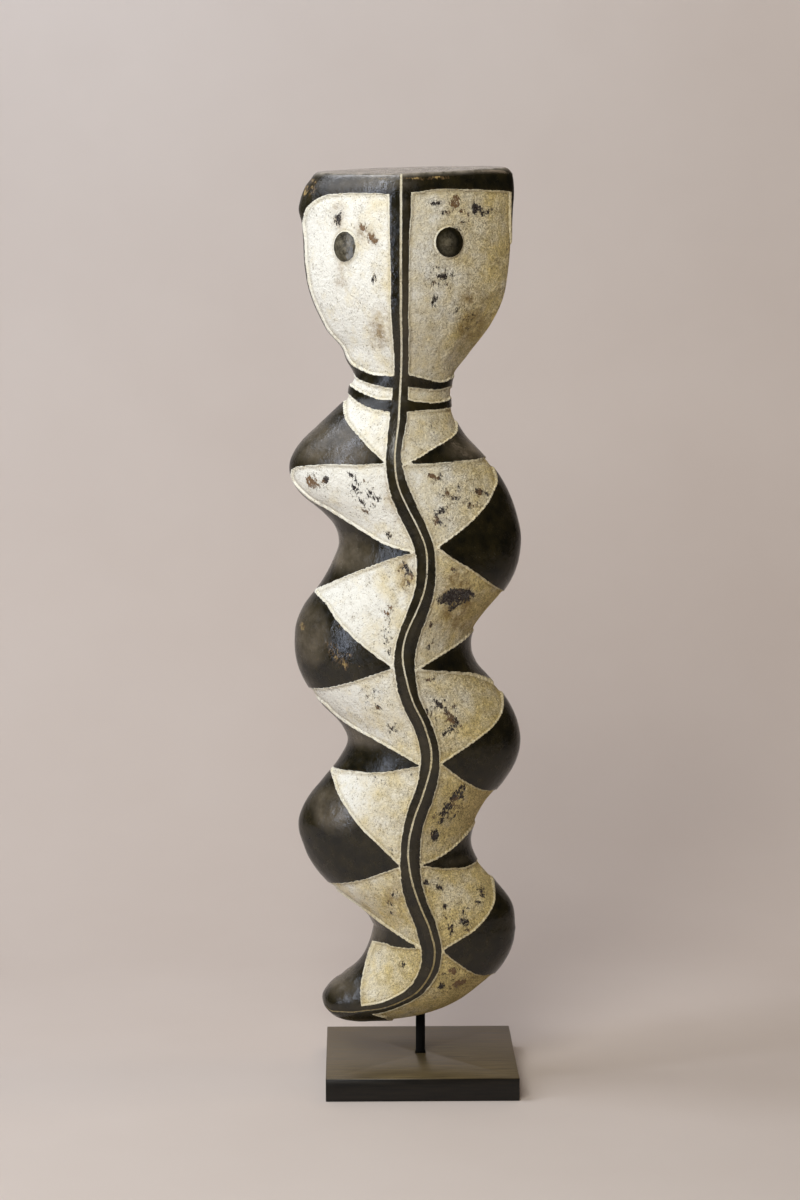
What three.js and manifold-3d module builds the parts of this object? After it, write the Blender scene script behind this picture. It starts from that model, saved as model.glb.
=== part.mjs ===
import * as THREE from "three";
import { mergeVertices } from "three/addons/utils/BufferGeometryUtils.js";
import Module from "manifold-3d";

// Snake headdress carved from one piece of wood, held up by a square bar on a square board.
// Lengths are in millimetres. X runs to the right, Y to the back and Z up.
// The origin is the middle of the board's underside, and the carved face looks towards -Y.

const wasm = await Module();
wasm.setup();

// Stand
const BOARD_SIDE = 330;
const BOARD_THICKNESS = 40;
const BAR_SIDE = 16;
const BAR_IN_BOARD = 15;
const BAR_TOP = 150;
const CLEARANCE = 0.3;

// Left and right edge of the carving as [height, x], at each bulge and hollow and on the slopes between
const LEFT_EDGE = [
  [1562, -187], [1552, -198], [1541, -200.5], [1528, -205], [1508, -208], [1485, -203],
  [1460, -201], [1410, -198], [1365, -189.5], [1325, -172.5], [1300, -159], [1275, -136.5],
  [1250, -126.5], [1226, -115], [1208, -123], [1188, -127.5], [1168, -147.5], [1145, -172.5],
  [1108, -209], [1071, -226], [1035, -216.5], [1015, -199], [1000, -179.5], [968, -148.5],
  [941, -141], [908, -151.5], [868, -173], [825, -204], [798, -215], [770, -218], [725, -213.5],
  [690, -197.5], [655, -170.5], [622, -138.5], [596, -127], [565, -139], [525, -169.5],
  [485, -200], [448, -213], [405, -204], [365, -183], [325, -143.5], [308, -120], [292, -98],
  [268, -82],
];
const RIGHT_EDGE = [
  [1562, 153.5], [1553, 155], [1540, 156], [1500, 154.5], [1470, 153.5], [1410, 150.5],
  [1360, 141.5], [1310, 118.5], [1260, 81], [1225, 57], [1199, 52.5], [1170, 53.5], [1130, 72.5],
  [1085, 113], [1040, 144.5], [995, 162.5], [940, 171], [895, 162.5], [855, 140], [820, 111],
  [790, 91], [764, 86.5], [735, 95.5], [705, 121], [670, 149], [635, 165.5], [595, 171.5],
  [560, 163], [525, 142], [490, 113.5], [455, 95.5], [420, 87.5], [385, 101], [350, 131],
  [315, 157], [268, 165],
];
// Ridge of the back of the snake, its distance in front of the middle plane, and the depth behind it
const SPINE_X = [
  [1573, -37], [1340, -38], [1225, -35], [1160, -40], [1087, -48], [1050, -42], [1010, -27],
  [975, -10], [945, 2], [910, 6], [875, 4], [835, -7], [795, -22], [757, -30], [720, -28],
  [680, -19], [640, 0], [600, 12], [560, 12], [520, 3], [480, -11], [446, -18], [420, -20],
  [390, -20], [355, -16], [320, -5], [290, 7], [268, 12],
];
const FRONT_DEPTH = [
  [1569, 112], [1500, 122], [1400, 125], [1310, 110], [1225, 76], [1195, 74], [1150, 92],
  [1080, 112], [1000, 118], [420, 114], [268, 106],
];
const BACK_DEPTH = [
  [1569, 88], [1500, 95], [1400, 96], [1310, 86], [1225, 62], [1195, 60], [1150, 72],
  [1080, 88], [1000, 92], [420, 90], [268, 84],
];
// The face is a wedge and the body a softer ridge: exponents of the front profile
const RIDGE_SHARPNESS = [[1300, 1.15], [1225, 1.3]];
const EDGE_ROUNDNESS = [[1300, 1.35], [1225, 1.72]];
// Flat cut along the right of the jaw: share of the half width where it starts, by height
const JAW_CUT = [[1380, 1], [1352, 0.78], [1248, 0.67], [1225, 1]];
// The carving stands turned a little to its right: depth gained per millimetre of x
const TURN = 0.13;
const TURN_CENTRE_X = -20;
// The top slopes down to the front and to the left
const TOP_SLOPE_Y = 0.088;
const TOP_SLOPE_X = 0.024;
const TOP_SLOPE_START = 1490;
const TOP_RIM_RADIUS = 11;
const TOP_RIM_TURNS = [90, 60, 30];
const TOP_HEIGHT = LEFT_EDGE[0][0] + TOP_RIM_RADIUS;
const TOP_RING_SHARES = [0.35, 0.7];
const TOP_CENTRE_X = -25;
const TOP_DOME = 3;

// Tail: below TAIL_HEIGHT its sections turn about a point on the left, as [angle, length]
const TAIL_HEIGHT = 268;
const TAIL_PIVOT = [-175, TAIL_HEIGHT];
const TAIL_END_ANGLE = 89;
const TAIL_INNER = [
  [0, 93], [10, 91.5], [25, 91.5], [40, 93.5], [54, 95], [62, 96], [68.5, 99.5], [75.4, 102.5],
  [81, 108.5], [86, 117], [88, 122.7], [88.8, 126], [89, 134],
];
const TAIL_OUTER = [
  [0, 340], [5, 336.5], [12, 323.5], [20, 300], [30, 273], [40, 244.5], [50, 218.5], [60, 196.5],
  [70, 183], [78, 172], [83, 161.5], [86, 152], [88, 145], [88.8, 142.5], [89, 134],
];
const TAIL_SPINE_SHARE = [
  [0, 0.382], [10, 0.435], [20, 0.495], [30, 0.54], [40, 0.565], [48, 0.593], [60, 0.627],
  [72, 0.647], [78, 0.67], [82, 0.725], [86, 0.82], [89, 0.9],
];
const TAIL_FRONT = [
  [0, 106], [20, 97], [45, 82], [60, 70], [75, 53], [80, 46], [85, 34], [87, 26], [88, 18.5],
  [88.6, 11], [89, 1],
];
const TAIL_BACK_SHARE = 0.8;
// The tail's sections grow rounder towards its end: the same two exponents, by angle
const TAIL_SHARPNESS = [[0, 1.3], [40, 1.6], [70, 2]];
const TAIL_ROUNDNESS = [[0, 1.72], [40, 1.85], [70, 2]];

// Carved pattern: the cream fields lie RELIEF below the black ones
const RELIEF = 3;
const FIELD_EDGE = 4;
// The back is left smooth: the relief runs out a little behind the edges
const BACK_FADE = 2;
const BEYOND = 30;

// Value at t of a smooth curve through [t, value] pairs, held at the ends
function along(pairs, t) {
  const p = pairs[0][0] < pairs[pairs.length - 1][0] ? pairs : [...pairs].reverse();
  const last = p.length - 1;
  if (t <= p[0][0]) return p[0][1];
  if (t >= p[last][0]) return p[last][1];
  let i = 0;
  while (t > p[i + 1][0]) i += 1;
  const rise = (k) => (p[k + 1][1] - p[k][1]) / (p[k + 1][0] - p[k][0]);
  const span = (k) => p[k + 1][0] - p[k][0];
  const slope = (k) => {
    if (k === 0) return rise(0);
    if (k === last) return rise(last - 1);
    return (rise(k - 1) * span(k) + rise(k) * span(k - 1)) / (span(k) + span(k - 1));
  };
  const h = span(i);
  const s = (t - p[i][0]) / h;
  const a = (1 + 2 * s) * (1 - s) ** 2 * p[i][1] + s * (1 - s) ** 2 * h * slope(i);
  return a + s * s * (3 - 2 * s) * p[i + 1][1] + s * s * (s - 1) * h * slope(i + 1);
}

// Value at t on straight lines between pairs, held at the ends
function straight(pairs, t) {
  const p = pairs[0][0] < pairs[pairs.length - 1][0] ? pairs : [...pairs].reverse();
  if (t <= p[0][0]) return p[0][1];
  for (let i = 1; i < p.length; i += 1) {
    if (t <= p[i][0]) {
      const s = (t - p[i - 1][0]) / (p[i][0] - p[i - 1][0]);
      return THREE.MathUtils.lerp(p[i - 1][1], p[i][1], s);
    }
  }
  return p[p.length - 1][1];
}

// Half width of the raised spine band by height, and by angle in the tail
const SPINE_HALF_WIDTH = [
  [1573, 20.5], [1480, 17.5], [1400, 16], [1300, 14.5], [1250, 13], [1160, 15.5], [1087, 13.5],
  [1050, 16.5], [900, 16.7], [757, 18.5], [640, 16], [560, 17.2], [440, 17.3], [320, 18.5], [268, 19],
];
const TAIL_SPINE_HALF_WIDTH = [[0, 19], [11, 17.5], [20, 15.5], [29, 13], [38, 11.2], [60, 10], [88, 8]];

// Outlines of the cream fields as seen from the front, as [x, z]; inner ends lie under the spine band
const FACE_LEFT_TOP = [
  [-38, 1531], [-61, 1530], [-112, 1532], [-149, 1531], [-170, 1526], [-193, 1509], [-201, 1484],
];
const FACE_LEFT_FOOT = [[-125, 1256], [-117, 1245], [-106, 1239], [-86, 1231], [-64, 1229], [-38, 1227]];
const FACE_RIGHT_TOP = [
  [-38, 1529], [-16, 1532], [14, 1536], [46, 1538], [117, 1537], [150, 1535],
];
const FACE_RIGHT_SIDE = [[150, 1500], [149, 1470]];
const FACE_RIGHT_FOOT = [
  [88, 1238], [72, 1230], [58, 1225], [47, 1220], [31, 1217], [4, 1224], [-22, 1231], [-38, 1235],
];
const FACE_RIGHT_SIDE_TOP = 1440;
const FACE_LEFT_SIDE = [1465, 1270];
const BETWEEN_BANDS = {
  left: [
    [[-36, 1205], [-49, 1206], [-70, 1209], [-94, 1215], [-110, 1222], [-120, 1234], [-140, 1250]],
    [[-140, 1222], [-120, 1209], [-104, 1200], [-86, 1193], [-70, 1189], [-36, 1189]],
  ],
  right: [
    [[-36, 1211], [-23, 1209], [-4, 1206], [19, 1204], [39, 1205], [70, 1212]],
    [[70, 1193], [51, 1188], [40, 1184], [19, 1183], [-4, 1185], [-36, 1191]],
  ],
};
const FIELDS = {
  neckLeft: [
    [[-40, 1168], [-55, 1168], [-70, 1169], [-89, 1173], [-109, 1182], [-123, 1193], [-132, 1200]],
    [[-132, 1186], [-130, 1158], [-118, 1140], [-102, 1123], [-82, 1102], [-61, 1083], [-46, 1070]],
  ],
  neckRight: [
    [[-40, 1168], [-22, 1168], [4, 1169], [27, 1170], [52, 1172], [62, 1173]],
    [[60, 1160], [62, 1145], [59, 1131], [42, 1119], [18, 1107], [-4, 1094], [-30, 1082], [-46, 1074]],
  ],
  firstLeft: [
    [[-46, 1083], [-60, 1083], [-101, 1079], [-148, 1078], [-186, 1074], [-219, 1067], [-250, 1060]],
    [[-240, 1044], [-212, 1028], [-186, 1012], [-153, 995], [-101, 966], [-76, 952], [-50, 942],
      [-16, 935], [0, 932]],
  ],
  firstRight: [
    [[-46, 1079], [-33, 1080], [19, 1082], [68, 1084], [107, 1087], [126, 1089]],
    [[124, 1070], [129, 1051], [124, 1037], [110, 1013], [83, 985], [51, 961], [25, 943], [2, 928]],
  ],
  secondLeft: [
    [[0, 938], [-14, 933], [-46, 923], [-94, 902], [-133, 883], [-184, 855]],
    [[-162, 838], [-143, 812], [-117, 787], [-84, 762], [-50, 739], [-29, 726]],
  ],
  secondRight: [
    [[4, 956], [28, 940], [50, 924], [83, 903], [116, 877], [142, 858], [168, 840]],
    [[114, 804], [92, 791], [78, 781], [60, 771], [37, 760], [12, 747], [-10, 736], [-29, 729]],
  ],
  thirdLeft: [
    [[-29, 744], [-49, 737], [-72, 728], [-102, 715], [-132, 703], [-163, 692], [-205, 682]],
    [[-196, 676], [-168, 660], [-145, 639], [-114, 622], [-71, 604], [-38, 589], [-4, 572], [12, 564]],
  ],
  thirdRight: [
    [[-29, 736], [-12, 735], [16, 732], [50, 727], [87, 720], [114, 708], [139, 690]],
    [[141, 676], [139, 659], [133, 647], [120, 632], [98, 617], [68, 598], [37, 579], [14, 563]],
  ],
  fourthLeft: [
    [[12, 575], [-4, 570], [-32, 562], [-71, 552], [-114, 548], [-158, 545]],
    [[-151, 530], [-142, 508], [-122, 479], [-100, 454], [-71, 427], [-38, 397], [-20, 380]],
  ],
  fourthRight: [
    [[12, 592], [35, 572], [63, 548], [93, 527], [108, 519], [135, 513], [155, 512]],
    [[110, 470], [92, 450], [82, 441], [72, 432], [48, 417], [22, 405], [-3, 398], [-20, 395]],
  ],
  fifthLeft: [
    [[-20, 402], [-38, 393], [-71, 378], [-104, 362], [-151, 345], [-180, 336]],
    [[-168, 338], [-140, 323], [-120, 311], [-88, 291], [-58, 276], [-27, 261], [-5, 252], [14, 244]],
  ],
  fifthRight: [
    [[-20, 396], [-3, 395], [33, 388], [65, 384], [83, 384], [100, 388], [118, 392]],
    [[122, 368], [127, 345], [125, 321], [111, 299], [89, 279], [64, 265], [35, 249], [14, 236]],
  ],
};
const TAIL_LEFT_TOP = [[14, 250], [-5, 249], [-27, 245], [-50, 243], [-63, 245], [-83, 241]];
const TAIL_LEFT_SIDE = [[-92, 218], [-100, 189], [-104, 168], [-104, 146]];
const TAIL_RIGHT_TOP = [[14, 264], [35, 246], [64, 220], [90, 200], [110, 191], [136, 189], [165, 190]];
const TAIL_RIGHT_FOOT = [[150, 90], [-10, 75], [-45, 96], [-62, 116], [-84, 124]];

// Eyes: raised bosses, each seen as an ellipse because the face turns away to either side
const EYE_HALF_HEIGHT = 26;
const EYES = [
  { x: -130, z: 1444, halfWidth: 19 },
  { x: 45, z: 1451, halfWidth: 24 },
];

// Mesh density
const HEIGHT_STEP = 27;
const CORNER_FOOT = 1515;
const CORNER_STEP = 11;
const TAIL_ANGLES = [6, 12, 19, 26, 34, 42, 50, 58, 66, 73, 79, 83, 86, 88, 88.7];
const FRONT_STEPS = 8;
const BACK_STEPS = 9;
const EYE_SIDES = 28;
const OUTLINE_STEP = 18;
const PRISM_REACH = 220;
const SIMPLIFY = 0.2;

// Share of the top's slope that a section at this height has
function tilt(height) {
  return THREE.MathUtils.smoothstep(height, TOP_SLOPE_START, LEFT_EDGE[0][0]);
}

// Depth of the front profile at a share of the half width, 1 at the ridge and 0 at the edge
function profile(share, sharpness, roundness) {
  return Math.max(1 - share ** sharpness, 0) ** (1 / roundness);
}

// Ring of points round one section, front from left to right and then the back from right to left
function ring({ left, spine, right, front, back }, { sharpness, roundness, cutShare }, place) {
  const points = [];
  for (let k = -FRONT_STEPS; k <= FRONT_STEPS; k += 1) {
    const share = Math.sin((Math.PI / 2) * (Math.abs(k) / FRONT_STEPS));
    const across = THREE.MathUtils.lerp(spine, k < 0 ? left : right, share);
    const cut = k > 0 ? cutShare : 1;
    const depth = profile(Math.min(share, cut), sharpness, roundness);
    points.push(place(across, -front * (share > cut ? (depth * (1 - share)) / (1 - cut) : depth)));
  }
  for (let k = 1; k <= BACK_STEPS; k += 1) {
    const turn = (Math.PI * k) / (BACK_STEPS + 1);
    const across = (left + right) / 2 + ((right - left) / 2) * Math.cos(turn);
    points.push(place(across, back * Math.sin(turn)));
  }
  return points;
}

function bodyRing(height, inset, drop = 0) {
  const lean = tilt(height);
  const place = (x, y) => {
    const z = height - drop + lean * (TOP_SLOPE_Y * y + TOP_SLOPE_X * (x - SPINE_X[0][1]));
    return [x, y - TURN * (x - TURN_CENTRE_X), z];
  };
  const section = {
    left: along(LEFT_EDGE, height) + inset,
    spine: along(SPINE_X, height),
    right: along(RIGHT_EDGE, height) - inset,
    front: along(FRONT_DEPTH, height) - inset,
    back: along(BACK_DEPTH, height) + inset * BACK_FADE,
  };
  const curve = {
    sharpness: straight(RIDGE_SHARPNESS, height),
    roundness: straight(EDGE_ROUNDNESS, height),
    cutShare: straight(JAW_CUT, height),
  };
  return ring(section, curve, place);
}

// Point at a distance from the tail's pivot, on the ray at this angle below the horizontal
function tailPoint(angle, distance) {
  const turn = THREE.MathUtils.degToRad(angle);
  return [TAIL_PIVOT[0] + distance * Math.cos(turn), TAIL_PIVOT[1] - distance * Math.sin(turn)];
}

function tailSpine(angle, inset = 0) {
  const near = along(TAIL_INNER, angle) + inset;
  const far = along(TAIL_OUTER, angle) - inset;
  return THREE.MathUtils.lerp(near, far, along(TAIL_SPINE_SHARE, angle));
}

function tailRing(angle, inset) {
  const place = (distance, y) => {
    const [x, z] = tailPoint(angle, distance);
    return [x, y - TURN * (x - TURN_CENTRE_X), z];
  };
  const section = {
    left: along(TAIL_INNER, angle) + inset,
    spine: tailSpine(angle, inset),
    right: along(TAIL_OUTER, angle) - inset,
    front: along(TAIL_FRONT, angle) - inset,
    back: along(TAIL_FRONT, angle) * TAIL_BACK_SHARE + inset * BACK_FADE,
  };
  const curve = {
    sharpness: straight(TAIL_SHARPNESS, angle),
    roundness: straight(TAIL_ROUNDNESS, angle),
    cutShare: 1,
  };
  return ring(section, curve, place);
}

// Closed solid of the carving's form, its front, edges and top moved in by inset
function form(inset) {
  const rings = [];
  const top = LEFT_EDGE[0][0];
  const rim = bodyRing(top, inset);
  const centre = [TOP_CENTRE_X, 0, TOP_HEIGHT - inset];
  const shrunk = (share, height) => rim.map(([x, y, z]) => [
    THREE.MathUtils.lerp(centre[0], x, share),
    THREE.MathUtils.lerp(centre[1], y, share),
    z - top + height - inset - (1 - share) * (z - top),
  ]);
  const rimShare = 1 - TOP_RIM_RADIUS / along(RIGHT_EDGE, top);
  for (const share of TOP_RING_SHARES) {
    rings.push(shrunk(share * rimShare, TOP_HEIGHT + TOP_DOME * (1 - share * share)));
  }
  for (const turn of TOP_RIM_TURNS.map(THREE.MathUtils.degToRad)) {
    const share = 1 - (1 - rimShare) * (turn / (Math.PI / 2));
    rings.push(shrunk(share, top + TOP_RIM_RADIUS * Math.sin(turn)));
  }
  rings.push(bodyRing(top, inset, inset));
  for (let height = top - CORNER_STEP; height > CORNER_FOOT; height -= CORNER_STEP) {
    rings.push(bodyRing(height, inset));
  }
  const levels = Math.round((CORNER_FOOT - TAIL_HEIGHT) / HEIGHT_STEP);
  for (let i = 0; i <= levels; i += 1) {
    rings.push(bodyRing(THREE.MathUtils.lerp(CORNER_FOOT, TAIL_HEIGHT, i / levels), inset));
  }
  for (const angle of TAIL_ANGLES) {
    const room = along(TAIL_OUTER, angle) - along(TAIL_INNER, angle);
    if (room > 4 * inset && along(TAIL_FRONT, angle) > 2 * inset) rings.push(tailRing(angle, inset));
  }
  const [tipX, tipZ] = tailPoint(TAIL_END_ANGLE, TAIL_INNER[TAIL_INNER.length - 1][1]);
  const tip = [tipX + inset, -TURN * (tipX - TURN_CENTRE_X), tipZ];
  centre[2] += TOP_DOME;
  return solidFromRings([centre, ...rings.flat(), tip], rings[0].length, rings.length);
}

function solidFromRings(points, around, count) {
  const faces = [];
  const at = (i, k) => 1 + i * around + (k % around);
  for (let k = 0; k < around; k += 1) {
    faces.push(0, at(0, k), at(0, k + 1));
    for (let i = 0; i < count - 1; i += 1) {
      faces.push(at(i, k), at(i + 1, k), at(i + 1, k + 1));
      faces.push(at(i, k), at(i + 1, k + 1), at(i, k + 1));
    }
    faces.push(at(count - 1, k + 1), at(count - 1, k), points.length - 1);
  }
  return new wasm.Manifold(new wasm.Mesh({
    numProp: 3,
    vertProperties: new Float32Array(points.flat()),
    triVerts: new Uint32Array(faces),
  }));
}

function solid(geometry) {
  const bare = geometry.clone();
  bare.deleteAttribute("normal");
  bare.deleteAttribute("uv");
  const merged = mergeVertices(bare, 1e-3);
  return new wasm.Manifold(new wasm.Mesh({
    numProp: 3,
    vertProperties: new Float32Array(merged.attributes.position.array),
    triVerts: new Uint32Array(merged.index.array),
  }));
}

// Straight prism through the carving along Y, from an outline of [x, z] points
function prism(outline, from = -PRISM_REACH, to = PRISM_REACH) {
  const shape = new THREE.Shape(outline.map(([x, z]) => new THREE.Vector2(x, z)));
  const geometry = new THREE.ExtrudeGeometry(shape, { depth: to - from, bevelEnabled: false });
  return solid(geometry.rotateX(Math.PI / 2).translate(0, to, 0));
}

// Smooth line through [x, z] points, with a point for every stretch of a few centimetres
function smooth(points, spacing = OUTLINE_STEP) {
  const curve = new THREE.SplineCurve(points.map(([x, z]) => new THREE.Vector2(x, z)));
  const count = Math.max(2, Math.round(curve.getLength() / spacing));
  return curve.getSpacedPoints(count).map((p) => [p.x, p.y]);
}

// Middle line of the spine band from above the head to the tail, with the band's half width there
function spineLine() {
  const line = [];
  const first = SPINE_X[0][0] + BEYOND;
  for (let height = first; height > TAIL_HEIGHT; height -= HEIGHT_STEP / 2) {
    line.push([along(SPINE_X, height), height, along(SPINE_HALF_WIDTH, height)]);
  }
  for (let angle = 0; angle <= TAIL_ANGLES[TAIL_ANGLES.length - 3]; angle += 5) {
    line.push([...tailPoint(angle, tailSpine(angle)), along(TAIL_SPINE_HALF_WIDTH, angle)]);
  }
  return line;
}

// Strip along the spine's middle line, as an outline
function strip(line) {
  const sides = [[], []];
  line.forEach(([x, z, half], i) => {
    const before = line[Math.max(i - 1, 0)];
    const after = line[Math.min(i + 1, line.length - 1)];
    const run = Math.hypot(after[0] - before[0], after[1] - before[1]);
    const across = [(after[1] - before[1]) / run, -(after[0] - before[0]) / run];
    sides[0].push([x + across[0] * half, z + across[1] * half]);
    sides[1].push([x - across[0] * half, z - across[1] * half]);
  });
  return [...sides[0], ...sides[1].reverse()];
}

function ellipse({ x, z, halfWidth }) {
  return Array.from({ length: EYE_SIDES }, (_, k) => {
    const turn = (2 * Math.PI * k) / EYE_SIDES;
    return [x + halfWidth * Math.cos(turn), z + EYE_HALF_HEIGHT * Math.sin(turn)];
  });
}

function heights([top, foot], count) {
  return Array.from({ length: count }, (_, i) => THREE.MathUtils.lerp(top, foot, i / (count - 1)));
}

function fieldOutlines() {
  const leftSide = heights(FACE_LEFT_SIDE, 10).map((h) => [along(LEFT_EDGE, h) + FIELD_EDGE, h]);
  const rightSide = heights([FACE_RIGHT_SIDE_TOP, FACE_RIGHT_FOOT[0][1] + BEYOND], 8)
    .map((h) => [along(RIGHT_EDGE, h) + BEYOND / 2, h]);
  const tailSpineLine = spineLine().filter(([, z]) => z < TAIL_HEIGHT).map(([x, z]) => [x, z]);
  const turned = tailSpineLine.slice().reverse();
  const leftTurned = turned.filter(([x, z]) => x > TAIL_LEFT_SIDE[3][0] && z < TAIL_LEFT_TOP[0][1]);
  const rightTurned = tailSpineLine.filter(([x]) => x > TAIL_RIGHT_FOOT[4][0]);
  const pairs = [...Object.values(BETWEEN_BANDS), ...Object.values(FIELDS)];
  return [
    [...smooth(FACE_LEFT_TOP), ...leftSide, ...smooth(FACE_LEFT_FOOT)],
    [...smooth(FACE_RIGHT_TOP), ...FACE_RIGHT_SIDE, ...rightSide, ...smooth(FACE_RIGHT_FOOT)],
    ...pairs.map(([upper, lower]) => [...smooth(upper), ...smooth(lower)]),
    [...smooth(TAIL_LEFT_TOP), ...smooth(TAIL_LEFT_SIDE), ...leftTurned],
    [...smooth(TAIL_RIGHT_TOP), ...TAIL_RIGHT_FOOT, ...rightTurned.slice().reverse()],
  ];
}

function boxSolid(width, depth, bottom, top) {
  const geometry = new THREE.BoxGeometry(width, depth, top - bottom);
  return solid(geometry.translate(0, 0, (bottom + top) / 2));
}

function carvedSnake() {
  const black = form(0);
  const cream = form(RELIEF);
  const line = spineLine();
  let fields = fieldOutlines().map((outline) => prism(outline)).reduce((a, b) => a.add(b));
  fields = fields.subtract(prism(strip(line)));
  for (const eye of EYES) fields = fields.subtract(prism(ellipse(eye), -PRISM_REACH, 0));
  const socket = boxSolid(BAR_SIDE + 2 * CLEARANCE, BAR_SIDE + 2 * CLEARANCE, 0, BAR_TOP + CLEARANCE);
  return black.subtract(fields.subtract(cream)).subtract(socket).simplify(SIMPLIFY);
}

function mesh(name, shape, colour, roughness, metalness = 0) {
  const data = shape.getMesh();
  const geometry = new THREE.BufferGeometry();
  geometry.setAttribute("position", new THREE.BufferAttribute(data.vertProperties, data.numProp));
  geometry.setIndex(new THREE.BufferAttribute(data.triVerts, 1));
  geometry.computeVertexNormals();
  const material = new THREE.MeshStandardMaterial({ color: colour, roughness, metalness });
  const made = new THREE.Mesh(geometry, material);
  made.name = name;
  return made;
}

const board = boxSolid(BOARD_SIDE, BOARD_SIDE, 0, BOARD_THICKNESS).subtract(
  boxSolid(BAR_SIDE + 2 * CLEARANCE, BAR_SIDE + 2 * CLEARANCE, BOARD_THICKNESS - BAR_IN_BOARD,
    BOARD_THICKNESS + BAR_SIDE),
);
const bar = boxSolid(BAR_SIDE, BAR_SIDE, BOARD_THICKNESS - BAR_IN_BOARD + CLEARANCE, BAR_TOP);

const headdress = new THREE.Group();
headdress.name = "snake_headdress_on_stand";
headdress.add(mesh("snake_carving", carvedSnake(), "#cfc6a8", 0.7));
headdress.add(mesh("mounting_rod", bar, "#141414", 0.5, 0.6));
headdress.add(mesh("base_board", board, "#2a2723", 0.6));

export default headdress;
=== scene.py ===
"""Snake headdress carved from one piece of wood, on a square bar and a square board.

Lengths are in millimetres until a mesh is made, which is in metres. X runs to the right,
Y to the back and Z up, and the carved face looks towards -Y.
"""

import logging
import math
from dataclasses import dataclass, field
from enum import Enum
from typing import Optional

import bpy
import numpy as np
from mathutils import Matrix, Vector, noise


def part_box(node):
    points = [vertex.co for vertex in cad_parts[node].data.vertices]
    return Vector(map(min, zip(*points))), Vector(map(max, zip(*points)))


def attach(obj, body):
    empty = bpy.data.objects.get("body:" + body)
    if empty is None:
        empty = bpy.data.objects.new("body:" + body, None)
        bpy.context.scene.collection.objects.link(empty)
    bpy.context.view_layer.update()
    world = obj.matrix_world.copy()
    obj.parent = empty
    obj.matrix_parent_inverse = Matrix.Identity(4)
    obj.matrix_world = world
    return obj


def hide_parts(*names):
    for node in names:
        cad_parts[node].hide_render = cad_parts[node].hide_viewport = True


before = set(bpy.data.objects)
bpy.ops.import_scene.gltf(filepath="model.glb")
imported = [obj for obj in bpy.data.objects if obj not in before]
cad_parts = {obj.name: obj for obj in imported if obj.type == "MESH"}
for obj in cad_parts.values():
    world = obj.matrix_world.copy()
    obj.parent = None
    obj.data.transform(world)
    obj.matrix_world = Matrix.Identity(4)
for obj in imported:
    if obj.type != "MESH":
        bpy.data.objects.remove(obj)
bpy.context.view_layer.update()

LOG = logging.getLogger("headdress")
MM = 0.001
BEVEL_SEGMENTS = 3
BEVEL_SMOOTH_ANGLE = 35
Pairs = list[tuple[float, float]]
Outline = list[tuple[float, float]]
Spot = tuple[float, float, float, float, float]
Tree = bpy.types.NodeTree
Socket = bpy.types.NodeSocket


# Profiles of the carving. They are the solid's, a little rounder at the head's left corner and at
# the tip of the tail. Those of the body go by height, those of the tail by degrees round its pivot.
LEFT_EDGE: Pairs = [
    (1562, -187), (1553, -194.5), (1543, -199.5), (1528, -204.5), (1508, -208), (1485, -203),
    (1460, -201), (1410, -198), (1365, -189.5), (1325, -172.5), (1300, -159), (1275, -136.5),
    (1250, -126.5), (1226, -115), (1208, -123), (1188, -127.5), (1168, -147.5), (1145, -172.5),
    (1108, -209), (1071, -226), (1035, -216.5), (1015, -199), (1000, -179.5), (968, -148.5),
    (941, -141), (908, -151.5), (868, -173), (825, -204), (798, -215), (770, -218), (725, -213.5),
    (690, -197.5), (655, -170.5), (622, -138.5), (596, -127), (565, -139), (525, -169.5),
    (485, -200), (448, -213), (405, -204), (365, -183), (325, -143.5), (308, -120), (292, -98),
    (268, -82),
]
RIGHT_EDGE: Pairs = [
    (1562, 153.5), (1553, 155), (1540, 156), (1500, 154.5), (1470, 153.5), (1410, 150.5),
    (1360, 141.5), (1310, 118.5), (1260, 81), (1225, 57), (1199, 52.5), (1170, 53.5), (1130, 72.5),
    (1085, 113), (1040, 144.5), (995, 162.5), (940, 171), (895, 162.5), (855, 140), (820, 111),
    (790, 91), (764, 86.5), (735, 95.5), (705, 121), (670, 149), (635, 165.5), (595, 171.5),
    (560, 163), (525, 142), (490, 113.5), (455, 95.5), (420, 87.5), (385, 101), (350, 131),
    (315, 157), (268, 165),
]
SPINE_X: Pairs = [
    (1573, -37), (1340, -38), (1225, -35), (1160, -40), (1087, -48), (1050, -42), (1010, -27),
    (975, -10), (945, 2), (910, 6), (875, 4), (835, -7), (795, -22), (757, -30), (720, -28),
    (680, -19), (640, 0), (600, 12), (560, 12), (520, 3), (480, -11), (446, -18), (420, -20),
    (390, -20), (355, -16), (320, -5), (290, 7), (268, 12),
]
FRONT_DEPTH: Pairs = [
    (1569, 112), (1500, 122), (1400, 125), (1310, 110), (1225, 76), (1195, 74), (1150, 92),
    (1080, 112), (1000, 118), (420, 114), (268, 106),
]
BACK_DEPTH: Pairs = [
    (1569, 88), (1500, 95), (1400, 96), (1310, 86), (1225, 62), (1195, 60), (1150, 72), (1080, 88),
    (1000, 92), (420, 90), (268, 84),
]
TAIL_INNER: Pairs = [
    (0, 93), (10, 91.5), (25, 91.5), (40, 93.5), (54, 95), (62, 96), (68.5, 99.5), (75.4, 102.5),
    (81, 108.5), (84.5, 115), (86, 118.5), (87, 121.5), (88, 125), (88.6, 128.2), (88.8, 130),
    (89, 134),
]
TAIL_OUTER: Pairs = [
    (0, 340), (5, 336.5), (12, 323.5), (20, 300), (30, 273), (40, 244.5), (50, 218.5), (60, 196.5),
    (70, 183), (78, 172), (83, 161.5), (84.5, 156.5), (86, 151), (87, 147), (88, 142.8),
    (88.6, 139.6), (88.8, 138), (89, 134),
]
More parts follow.
